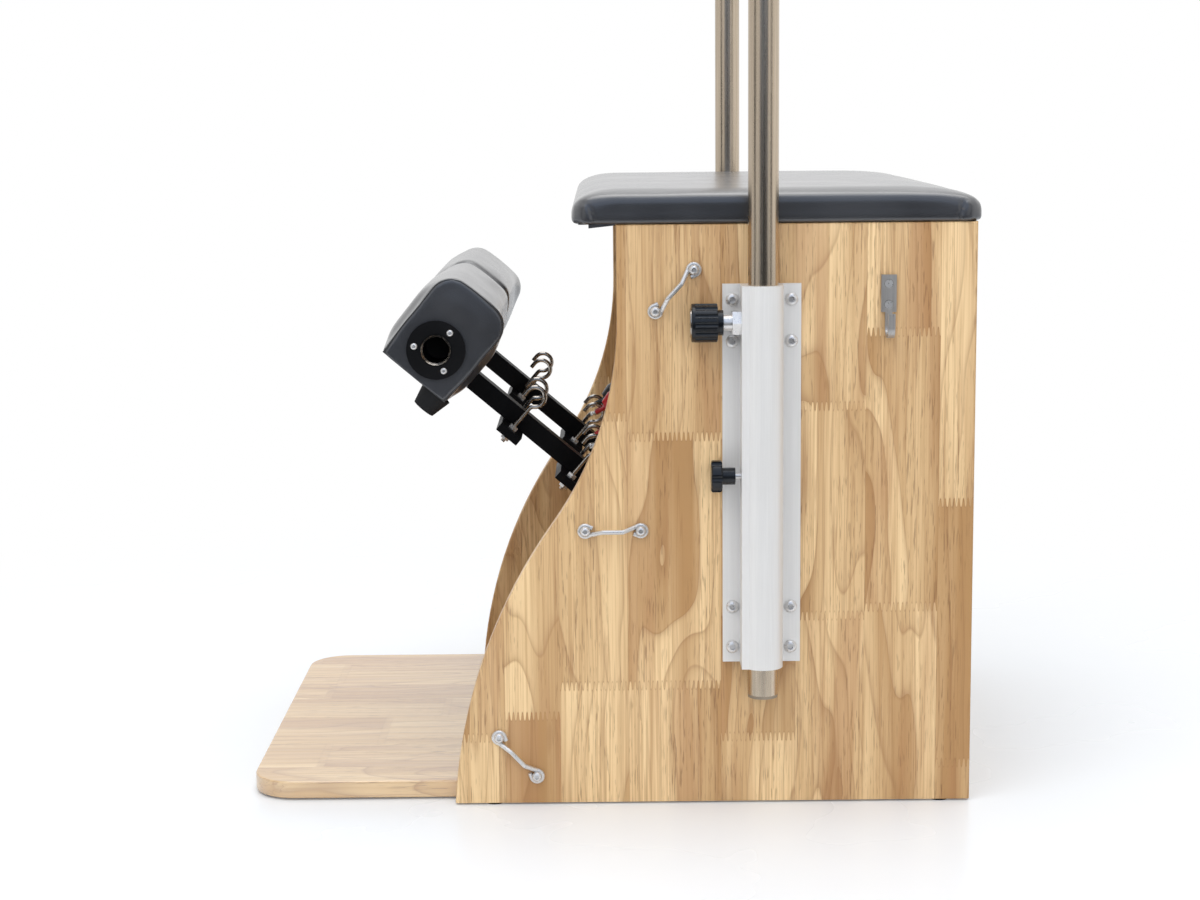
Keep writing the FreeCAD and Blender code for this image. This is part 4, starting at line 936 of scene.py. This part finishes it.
@dataclass
class Seat:
    """Padded seat: a wrapped vinyl cushion with folded corners and the hem under its front."""

    start_gap: float = -0.001
    top_gap: float = 0.0035
    corner: float = 0.019
    shoulder: float = 0.0145
    hem_round: float = 0.0016
    upright: float = 0.01
    skirt: float = 0.012
    hold: float = 0.0015
    voxel: float = 0.0048
    swell: float = 0.004
    front_drop: float = 0.0060
    front_run: float = 0.050
    rear_drop: float = 0.0080
    rear_run: float = 0.085
    rear_push: float = 0.0027
    side_push: float = 0.0030
    side_run: float = 0.020
    side_rise: Pair = (0.35, 0.95)
    side_top: float = 0.0305
    side_lift: float = 0.3
    lift_rise: Pair = (0.6, 0.85)
    sink: float = 0.0003
    fold_in: float = 0.021
    fold_height: float = 0.022
    fold_fade: float = 0.75
    fold_edge: Pair = (0.016, 0.006)
    fold_lip: float = 0.0014
    fold_lean: float = -0.3
    fold_front: Pair = (-0.001, 0.0014)
    fold_back: Pair = (0.005, 0.017)
    fold_dip: float = 0.0016
    hem_depth: float = 0.0036
    hem_taper: float = 0.25
    hem_start: float = 0.016
    hem_end: float = 0.0422
    hem_in: float = 0.005
    hem_bury: float = 0.0005
    hem_edge: float = 0.0004
    hem_weld: float = 0.00002
    near: float = 0.001

    def build(self) -> None:
        """Make the cushion and its hem."""
        low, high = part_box("seat_cushion")
        cushion = self.cushion(low, high)
        hem = self.hem(low, high)
        for piece in (cushion, hem):
            fit(piece, Shop.vinyl, "chair_frame")
        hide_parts("seat_cushion")

    def cushion(self, low: Vector, high: Vector) -> Piece:
        """Make the filled cover.

        Args:
            low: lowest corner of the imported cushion.
            high: its highest corner.

        Returns:
            The cushion.
        """
        gap = self.start_gap
        start = low + Vector((gap, gap, 0.0))
        end = high - Vector((gap, gap, self.top_gap))
        pad = Bench.block("seat_pad", start, end)
        middle = (start.z + end.z) / 2
        Bench.round_edges(pad, lambda a, b: abs(a.z - b.z) > self.upright, self.corner, 6)
        Bench.round_edges(pad, lambda a, b: min(a.z, b.z) > middle, self.shoulder, 6)
        Bench.round_edges(pad, lambda a, b: max(a.z, b.z) < middle - self.skirt, self.hem_round, 3)
        Bench.stuff(pad, self.voxel, self.swell, lambda spot: spot.z < start.z + self.hold)
        self.crown(pad, low, high)
        self.fold_corners(pad, low, high)
        return Bench.smooth(pad, Bench.SOFT)

    def crown(self, pad: Piece, low: Vector, high: Vector) -> None:
        """Let the top fall away towards front and rear, the rear stand out and the sides stay upright.

        Args:
            pad: the cushion.
            low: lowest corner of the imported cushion.
            high: its highest corner.
        """
        for vert in pad.data.vertices:
            spot = vert.co
            rise = max(0.0, spot.z - low.z) / (high.z - low.z)
            front = max(0.0, 1.0 - (spot.y - low.y) / self.front_run)
            rear = max(0.0, 1.0 - (high.y - spot.y) / self.rear_run)
            spot.z -= rise * (self.front_drop * front ** 2 + self.rear_drop * rear ** 2)
            spot.y += self.rear_push * smooth_step(spot.y, high.y - self.rear_run, high.y)
            middle = smooth_step(spot.y, low.y, low.y + self.front_run)
            middle *= 1.0 - smooth_step(spot.y, high.y - self.front_run, high.y)
            out = smooth_step(abs(spot.x), high.x - self.side_run, high.x)
            push = self.side_push * middle * out * smooth_step(rise, *self.side_rise)
            spot.x += math.copysign(push, spot.x)
            short = max(0.0, low.z + self.side_top - spot.z)
            spot.z += self.side_lift * short * middle * out * smooth_step(rise, *self.lift_rise)

    def fold_corners(self, pad: Piece, low: Vector, high: Vector) -> None:
        """Press the folds of the cover into the four corners.

        Args:
            pad: the cushion.
            low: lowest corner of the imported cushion.
            high: its highest corner.
        """
        fold_top = low.z + self.fold_height
        fade_from = low.z + self.fold_height * self.fold_fade
        for vert in pad.data.vertices:
            spot = vert.co
            spot.z = max(spot.z, low.z - self.sink)
            edge = smooth_step(abs(spot.x), *(high.x - inset for inset in self.fold_edge))
            fade = 1.0 - smooth_step(spot.z, fade_from, fold_top)
            if edge * fade <= 0.0:
                continue
            for line, turn in ((high.y - self.fold_in, 1.0), (low.y + self.fold_in, -1.0)):
                run = (spot.y - line) * turn + (spot.z - low.z) * self.fold_lean
                lip = smooth_step(run, *self.fold_front) * (1.0 - smooth_step(run, *self.fold_back))
                dip = math.exp(-((run + self.fold_dip) / self.fold_dip) ** 2)
                spot.x += self.fold_lip * (lip - dip) * edge * fade * math.copysign(1.0, spot.x)

    def hem(self, low: Vector, high: Vector) -> Piece:
        """Make the folded end of the cover under the front overhang.

        Args:
            low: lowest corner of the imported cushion.
            high: its highest corner.

        Returns:
            The hem.
        """
        front = low.y + self.hem_start
        hem = Bench.block("seat_hem", Vector((low.x + self.hem_in, front, low.z - self.hem_depth)),
                          Vector((high.x - self.hem_in, low.y + self.hem_end, low.z + self.hem_bury)))
        for vert in hem.data.vertices:
            if vert.co.z < low.z - self.near and vert.co.y > front + self.near:
                vert.co.z = low.z - self.hem_depth * self.hem_taper
        Bench.round_edges(hem, lambda a, b: a.x * b.x < 0.0, self.hem_edge, 3)
        Bench.apply(hem, "WELD", merge_threshold=self.hem_weld)
        return Bench.smooth(hem)


@dataclass
class PedalPad:
    """One pedal: its cushion with welted ends, and its packed metalwork."""

    side: Side
    arm_side: float = 0.125
    pivot: Vector = field(default_factory=lambda: Vector((0.0, 0.3012, 0.044)))
    rise: float = 40.4
    reach: float = 0.6325
    half_length: float = 0.1195
    base_half: float = 0.0412
    top_half: float = 0.0440
    base: float = -0.0212
    top: float = 0.0833
    corner: float = 0.021
    outer_round: float = 0.0032
    inner_round: float = 0.021
    bore_rise: float = 0.0147
    bore: float = 0.0169
    bore_over: float = 0.03
    arm: float = 0.0208
    arm_over: float = 0.02
    start_gap: float = 0.0003
    near: float = 0.001
    hold: float = 0.0012
    voxel: float = 0.0034
    swell: float = 0.0078
    pressure: float = 13.0
    end_swell: float = 0.3
    end_run: Pair = (0.003, 0.04)
    corner_pull: float = 0.0045
    pull_from: float = 0.35
    dome: float = 0.0038
    dome_from: float = 0.6
    disc: float = 0.030
    disc_thick: float = 0.003
    disc_rim: float = 0.0005
    disc_fade: float = 0.024
    disc_reach: float = 0.006
    disc_sink: float = 0.0002
    welt: float = 0.0009
    welt_in: float = 0.0018
    tube: float = 0.015
    tube_sides: int = 64
    lip: float = 0.0016
    lip_seat: float = 0.0004
    lip_length: float = 0.004
    lip_slope: float = 0.0030
    cone_in: float = 1.5
    cone_over: float = 0.0003
    cone_out: float = 0.0021
    tool_length: float = 0.02
    stop_depth: float = 0.055
    stop_gap: float = 0.0001
    stop_length: float = 0.006
    stop_edge: float = 0.001

    def frame(self) -> Matrix:
        """Place of the pedal: origin on the axle, arm along -Y before it is swung up."""
        origin = Vector((self.side.value * self.arm_side, self.pivot.y, self.pivot.z))
        return Matrix.Translation(origin) @ Matrix.Rotation(math.radians(-self.rise), 4, "X")

    def build(self) -> None:
        """Make the cushion and its welts and dress the metalwork."""
        word = self.side.word
        cushion = self.cushion()
        welts = self.welts(cushion)
        self.bore_out(cushion)
        stops, lips = self.tube_ends()
        for piece, finish, slot in ((cushion, Shop.vinyl, "vinyl"), (welts, Shop.cord, "vinyl"),
                                    (stops, Shop.rubber, "rubber"),
                                    (lips, Shop.hook_steel, "polished_steel")):
            Bench.take(piece)
            piece.matrix_world = self.frame()
            Bench.named(piece.name)
            fit(piece, finish, word + "_pedal")
        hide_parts("pedal_cushion_" + word)
        dress_side(self.side, {
            "pedal_arm": Shop.powder, "pedal_bushes": Shop.bronze, "spring_hooks": Shop.hook_steel,
            "hook_nuts": Shop.bright, "pedal_board": Shop.board_black, "pedal_discs": Shop.disc,
            "pedal_disc_screws": Shop.bright, "pedal_bumper": Shop.rubber})
        log.info("%s pedal dressed", word)

    def cushion(self) -> Piece:
        """Make the filled cover in the pedal's own frame.

        Returns:
            The cushion without its bore.
        """
        gap = self.start_gap
        length = self.half_length
        low = Vector((gap - length, -self.reach - self.top_half + gap, self.base))
        high = Vector((length - gap, self.top_half - self.reach - gap, self.top - gap))
        pad = Bench.block("pedal_pad_" + self.side.word, low, high)
        narrow = (self.base_half - gap) / (self.top_half - gap)
        for vert in pad.data.vertices:
            if vert.co.z < self.base + self.near:
                vert.co.y = -self.reach + (vert.co.y + self.reach) * narrow
        outer = self.side.value
        Bench.round_edges(pad, lambda a, b: min(a.z, b.z) > 0.0 and abs(a.x - b.x) > length, self.corner, 7)
        for end, radius in ((outer, self.outer_round), (-outer, self.inner_round)):
            Bench.round_edges(pad, lambda a, b: min(a.x * end, b.x * end) > length - self.near
                              and max(a.z, b.z) > self.base + self.near, radius, 5)
        Bench.stuff(pad, self.voxel, self.swell, lambda spot: spot.z < self.base + self.hold
                    or spot.x * -outer > length - self.hold, self.pressure)
        self.settle(pad)
        return Bench.smooth(pad, Bench.SOFT)

    def settle(self, pad: Piece) -> None:
        """Dome the top, round its rear corner, calm the ends and press them flat under the discs.

        Args:
            pad: the filled cover.
        """
        length = self.half_length
        for vert in pad.data.vertices:
            spot = vert.co
            inside = smooth_step(length - spot.x * self.side.value, *self.end_run)
            back = smooth_step(spot.y + self.reach, self.top_half * self.pull_from, self.top_half)
            up = smooth_step(spot.z, self.top * self.pull_from, self.top)
            pull = self.corner_pull * inside * back * up
            dome = self.dome * max(0.0, 1.0 - ((spot.y + self.reach) / self.top_half) ** 2)
            dome *= smooth_step(spot.z, self.top * self.dome_from, self.top)
            spot.y -= pull
            spot.z = max(spot.z - pull + dome, self.base)
            over = abs(spot.x) - length
            if over > 0.0:
                spot.x = math.copysign(length + over * self.end_swell, spot.x)
            away = math.hypot(spot.y + self.reach, spot.z - self.bore_rise)
            share = 1.0 - smooth_step(away, self.disc + self.disc_rim, self.disc + self.disc_fade)
            if abs(spot.x) > length - self.disc_reach and share > 0.0:
                flat = math.copysign(length - self.disc_sink, spot.x)
                spot.x += (flat - spot.x) * share

    def welts(self, cushion: Piece) -> Piece:
        """Lay seam cords round both ends, on the outline of the filled cover.

        Args:
            cushion: the filled cover.

        Returns:
            Both welts as one piece.
        """
        cords = []
        for end in (-1, 1):
            Bench.copy(cushion, f"welt_{self.side.word}_{end}", Matrix.Identity(4))
            bpy.ops.object.mode_set(mode="EDIT")
            bpy.ops.mesh.select_mode(type="VERT")
            bpy.ops.mesh.select_all(action="SELECT")
            bpy.ops.mesh.bisect(plane_co=(end * (self.half_length - self.welt_in), 0.0, 0.0),
                                plane_no=(1.0, 0.0, 0.0))
            bpy.ops.mesh.select_all(action="INVERT")
            bpy.ops.mesh.delete(type="VERT")
            bpy.ops.object.mode_set(mode="OBJECT")
            bpy.ops.object.convert(target="CURVE")
            curve = bpy.context.active_object
            curve.data.bevel_depth = self.welt
            curve.data.bevel_resolution = 2
            bpy.ops.object.convert(target="MESH")
            cords.append(bpy.context.active_object)
        return Bench.smooth(Bench.join("pedal_welts_" + self.side.word, cords), Bench.SOFT)

    def tube_ends(self) -> tuple[Piece, Piece]:
        """Make the stops inside the cross tube and the bright conical lips at its two mouths.

        Returns:
            The stops and the lips, in the pedal's own frame.
        """
        stops = []
        lips = []
        sides = self.tube_sides
        for end in (-1, 1):
            outward = Vector((end, 0.0, 0.0))
            mouth = Vector((end * (self.half_length + self.disc_thick), -self.reach, self.bore_rise))
            stops.append(Bench.rounded_bar(f"stop_{end}", mouth - outward * self.stop_depth,
                                           self.tube - self.stop_gap, self.stop_length, "X", self.stop_edge))
            lip = Bench.drum(f"lip_{end}", mouth, self.tube + self.lip_seat, self.lip_length, "X", sides)
            Bench.cut(lip, Bench.drum("lip_tool", mouth, self.tube - self.lip, self.tool_length, "X", sides))
            Bench.take()
            bpy.ops.mesh.primitive_cone_add(
                vertices=sides, depth=self.lip_slope,
                radius1=self.tube - self.cone_in * self.lip, radius2=self.tube + self.cone_over,
                location=mouth + outward * (self.cone_out - self.lip_slope / 2),
                rotation=(0.0, end * math.pi / 2, 0.0))
            Bench.cut(lip, Bench.named("cone_tool"))
            lips.append(lip)
        word = self.side.word
        return Bench.join("tube_stops_" + word, stops), Bench.smooth(Bench.join("tube_lips_" + word, lips))

    def bore_out(self, cushion: Piece) -> None:
        """Open the cushion for the cross tube and the arm.

        Args:
            cushion: the filled cover.
        """
        middle = Vector((0.0, -self.reach, self.bore_rise))
        tube = Bench.drum("bore_tool", middle, self.bore, self.half_length * 2 + self.bore_over, "X")
        half = self.arm / 2
        slot = Bench.block("slot_tool", Vector((-half, -self.reach, -half)),
                           Vector((half, -self.reach + self.top_half + self.arm_over, half)))
        Bench.cut(cushion, tube, slot)
        Bench.smooth(cushion, Bench.BORED)


@dataclass
class SpringPair:
    """Two wound springs of one pedal between their packed ends."""

    side: Side
    upper: Vector = field(default_factory=lambda: Vector((0.0, 0.322030, 0.543874)))
    lower: Vector = field(default_factory=lambda: Vector((0.0, -0.015522, 0.350926)))
    places: Pair = (0.090, 0.160)
    cap_start: float = 0.0176
    cap_end: float = 0.037
    bury: float = 0.003
    coil: float = 0.0102
    wire: float = 0.0016
    wire_sides: int = 10
    turns: int = 62
    steps: int = 22
    leg: float = 0.0055
    sleeve: float = 0.0024
    sleeve_from: float = 0.005
    sleeve_length: float = 0.0135
    sleeve_edge: float = 0.0006

    def build(self) -> None:
        """Wind the springs and dress their ends."""
        word = self.side.word
        along = (self.lower - self.upper).normalized()
        first = self.upper + along * (self.cap_end - self.bury)
        length = (self.lower - self.upper).length - 2 * (self.cap_end - self.bury)
        turn = along.to_track_quat("Z", "Y").to_matrix().to_4x4()
        master = self.wind(length)
        coils = []
        for number, out in enumerate(self.places):
            start = first + Vector((self.side.value * out, 0.0, 0.0))
            coils.append(Bench.copy(master, f"coil_{word}_{number}", Matrix.Translation(start) @ turn))
        bpy.data.objects.remove(master)
        pair = Bench.smooth(Bench.join("spring_coils_" + word, coils), Bench.SOFT)
        Shop.spring_steel.dress(pair)
        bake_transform(pair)
        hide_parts("springs_" + word)
        log.info("%s wound", pair.name)
        ends = SpringEnd("spring_ends", along=tuple(along), first=along.dot(self.upper) + self.cap_start,
                         last=along.dot(self.lower) - self.cap_start)
        ends.dress_nodes("spring_upper_ends_" + word, "spring_lower_ends_" + word)
        self.sleeves("upper", self.upper, along, word + "_spring_tops")
        self.sleeves("lower", self.lower, -along, word + "_spring_feet")

    def sleeves(self, label: str, crown: Vector, inward: Vector, body: str) -> None:
        """Put coloured sleeves on the legs of the wire links at one end.

        Args:
            label: upper or lower.
            crown: crown of the links, at x = 0.
            inward: direction from the crown into the spring.
            body: body that the sleeves ride.
        """
        turn = inward.to_track_quat("Z", "Y").to_matrix().to_4x4()
        middle = crown + inward * (self.sleeve_from + self.sleeve_length / 2)
        for out, finish, slot in zip(self.places, (Shop.red, Shop.plastic), ("red_plastic", "black_plastic")):
            pair = []
            for leg in (-self.leg, self.leg):
                sleeve = Bench.rounded_bar("sleeve", Vector(), self.sleeve, self.sleeve_length, "Z",
                                           self.sleeve_edge)
                spot = middle + Vector((self.side.value * out + leg, 0.0, 0.0))
                sleeve.matrix_world = Matrix.Translation(spot) @ turn
                pair.append(sleeve)
            both = Bench.join(f"link_sleeves_{label}_{slot}_{self.side.word}", pair)
            fit(both, finish, body)

    def wind(self, length: float) -> Piece:
        """Wind one close coil about +Z from the origin.

        Args:
            length: its length.

        Returns:
            The coil.
        """
        Bench.take()
        bpy.ops.mesh.primitive_circle_add(vertices=self.wire_sides, radius=self.wire, fill_type="NGON",
                                          location=(self.coil, 0.0, 0.0), rotation=(math.pi / 2, 0.0, 0.0))
        coil = Bench.named("coil_master")
        Bench.apply(coil, "SCREW", axis="Z", angle=2 * math.pi, screw_offset=length / self.turns,
                    iterations=self.turns, steps=self.steps, render_steps=self.steps,
                    use_merge_vertices=False)
        bpy.ops.object.mode_set(mode="EDIT")
        bpy.ops.mesh.select_all(action="SELECT")
        bpy.ops.mesh.fill_holes(sides=0)
        bpy.ops.mesh.select_all(action="SELECT")
        bpy.ops.mesh.normals_make_consistent(inside=False)
        bpy.ops.object.mode_set(mode="OBJECT")
        return coil


@dataclass
class PoleSet:
    """One push-up pole with its holder, index plunger and clamp screw."""

    side: Side
    plate: float = 0.0145
    plate_thick: float = 0.0016
    plate_seat: float = 0.0004
    plate_edge: float = 0.0005
    plate_sides: int = 64

    def build(self) -> None:
        """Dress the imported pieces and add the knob's end plate."""
        dress_side(self.side, {
            "pole": Shop.tube, "pole_grip": Shop.foam, "pole_plug": Shop.plug, "plunger_knob": Shop.plastic,
            "clamp_knob": Shop.plastic, "pole_holder": Shop.aluminium, "plunger_pin": Shop.bright,
            "clamp_stud": Shop.bright})
        self.end_plate()
        log.info("%s pole dressed", self.side.word)

    def end_plate(self) -> None:
        """Set a round bright plate in the end of the plunger's knob."""
        word = self.side.word
        low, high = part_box("plunger_knob_" + word)
        middle = (low + high) / 2
        front = low.y - self.plate_thick / 2
        plate = Bench.drum("knob_plate_" + word, Vector((middle.x, front + self.plate_seat, middle.z)),
                           self.plate, self.plate_thick, "Y", self.plate_sides)
        Bench.round_edges(plate, lambda a, b: max(a.y, b.y) < front, self.plate_edge, 3)
        fit(Bench.smooth(plate), Shop.hook_steel, word + "_plunger")


@dataclass(frozen=True)
class Board:
    """A board that only shows in reflections, dark or bright."""

    name: str
    middle: Triple
    size: Triple
    tone: Colour
    darker: float = 0.8
    lighter: float = 1.2

    def build(self) -> None:
        """Set the board up with a softly clouded glow."""
        middle = Vector(self.middle)
        half = Vector(self.size) / 2
        board = Bench.block(self.name, middle - half, middle + half)
        material, graph, _ = new_material(self.name)
        dark, light = (tuple(part * factor for part in self.tone) for factor in (self.darker, self.lighter))
        tint = graph.mix(graph.noise(graph.place(), 1.5), dark, light)
        graph.surface(graph.add("ShaderNodeEmission", {"Color": tint, "Strength": 1.0}).outputs[0])
        board.data.materials.append(material)
        board.visible_camera = False
        board.visible_diffuse = False
        board.visible_shadow = False


@dataclass(frozen=True)
class Lamp:
    """A soft square lamp that looks at the chair."""

    name: str
    place: Triple
    size: float
    power: float
    mirrored: bool = True
    target: Triple = (0.0, 0.0, 0.35)

    def build(self) -> None:
        """Hang the lamp and turn it to the chair."""
        data = bpy.data.lights.new(self.name, "AREA")
        data.shape = "SQUARE"
        data.size = self.size
        data.energy = self.power
        lamp = bpy.data.objects.new(self.name, data)
        lamp.location = self.place
        lamp.visible_glossy = self.mirrored
        look = Vector(self.target) - Vector(self.place)
        lamp.rotation_euler = look.to_track_quat("-Z", "Y").to_euler()
        bpy.context.scene.collection.objects.link(lamp)


@dataclass
class Studio:
    """Pale floor, soft light, boards for reflections and the photograph's camera."""

    eye: Vector = field(default_factory=lambda: Vector((2.47511, -0.0019, 0.7102)))
    yaw: float = -0.10
    pitch: float = 8.90
    roll: float = -0.57
    lens: float = 66.385
    sensor: float = 36.0
    ambient: float = 0.62
    floor_size: float = 14.0
    floor_tones: tuple[Colour, Colour] = ((0.84, 0.875, 0.92), (0.87, 0.905, 0.95))
    floor_white: Pair = (0.45, 1.4)
    boards: tuple[Board, ...] = (
        Board("dark_room", (4.6, 0.0, 0.2), (0.02, 5.0, 2.0), (0.075, 0.075, 0.076)),
        Board("blue_room", (4.6, 0.0, 3.0), (0.02, 5.0, 3.6), (0.62, 0.76, 1.02)),
        Board("pale_ceiling", (2.5, 0.0, 5.0), (4.2, 5.0, 0.02), (0.85, 0.98, 1.22)),
        Board("dark_floor", (2.9, 0.0, 0.004), (3.8, 5.0, 0.002), (0.05, 0.05, 0.05)),
        Board("left_flag", (1.1, -2.2, 1.2), (0.6, 0.02, 4.0), (0.02, 0.02, 0.02)),
        Board("right_flag", (1.6, 2.0, 1.2), (0.5, 0.02, 4.0), (0.02, 0.02, 0.02)))
    lamps: tuple[Lamp, ...] = (
        Lamp("key", (1.6, -0.9, 2.6), 1.9, 30.0, mirrored=False),
        Lamp("top", (-0.4, 0.3, 3.0), 2.6, 48.0),
        Lamp("front", (3.4, 0.8, 1.2), 2.0, 26.0, mirrored=False))

    def build(self) -> None:
        """Set camera, world, floor, boards and lamps."""
        bpy.context.scene.view_settings.view_transform = "Standard"
        self.camera()
        self.world()
        self.floor()
        for item in (*self.boards, *self.lamps):
            item.build()
        log.info("studio set")

    def camera(self) -> None:
        """Set the camera at the photograph's place and angle."""
        yaw, pitch, roll = (math.radians(angle) for angle in (self.yaw, self.pitch, self.roll))
        ahead = Vector((-math.cos(pitch) * math.cos(yaw), math.cos(pitch) * math.sin(yaw), -math.sin(pitch)))
        right = ahead.cross(Vector((0.0, 0.0, 1.0))).normalized()
        up = right.cross(ahead)
        right, up = right * math.cos(roll) + up * math.sin(roll), up * math.cos(roll) - right * math.sin(roll)
        data = bpy.data.cameras.new("photo_camera")
        data.sensor_fit = "HORIZONTAL"
        data.sensor_width = self.sensor
        data.lens = self.lens
        camera = bpy.data.objects.new("photo_camera", data)
        turn = Matrix((right, up, -ahead)).transposed().to_4x4()
        camera.matrix_world = Matrix.Translation(self.eye) @ turn
        bpy.context.scene.collection.objects.link(camera)
        bpy.context.scene.camera = camera

    def world(self) -> None:
        """Make the world white to the camera and in reflections, and softer as light."""
        world = bpy.data.worlds.new("white_room")
        world.use_nodes = True
        graph = Graph(world.node_tree)
        path = graph.add("ShaderNodeLightPath").outputs
        seen = graph.math("MAXIMUM", path["Is Camera Ray"],
                          graph.math("MAXIMUM", path["Is Glossy Ray"], path["Is Transmission Ray"]))
        graph.wire(world.node_tree.nodes["Background"], {
            "Color": WHITE, "Strength": graph.ramp(seen, 0.0, 1.0, self.ambient, 1.0)})
        bpy.context.scene.world = world

    def floor(self) -> None:
        """Lay a pale floor that turns white away from the chair."""
        Bench.take()
        bpy.ops.mesh.primitive_plane_add(size=self.floor_size)
        floor = Bench.named("floor")
        material, graph, shader = new_material("pale_floor")
        spot = graph.place()
        tone = graph.noise(spot, 3.0, 3.0)
        graph.wire(shader, {"Base Color": graph.mix(tone, *self.floor_tones),
                            "Roughness": graph.ramp(tone, 0.3, 0.7, 0.22, 0.3), "Specular IOR Level": 0.25})
        white = graph.add("ShaderNodeEmission", {"Color": WHITE, "Strength": 1.0})
        away = graph.add("ShaderNodeVectorMath", {0: spot}, operation="LENGTH").outputs["Value"]
        seen = graph.add("ShaderNodeLightPath").outputs["Is Camera Ray"]
        share = graph.math("MULTIPLY", graph.ramp(away, *self.floor_white, 0.1, 1.0), seen)
        blend = graph.add("ShaderNodeMixShader", {0: share, 1: shader.outputs[0], 2: white.outputs[0]})
        graph.surface(blend.outputs[0])
        floor.data.materials.append(material)


def main() -> None:
    """Build the studio and the chair's pieces in order."""
    logging.basicConfig(level=logging.INFO, format="%(name)s: %(message)s")
    Studio().build()
    Carcass().build()
    Seat().build()
    for side in Side:
        PedalPad(side).build()
        SpringPair(side).build()
        PoleSet(side).build()


if __name__ == "__main__":
    main()
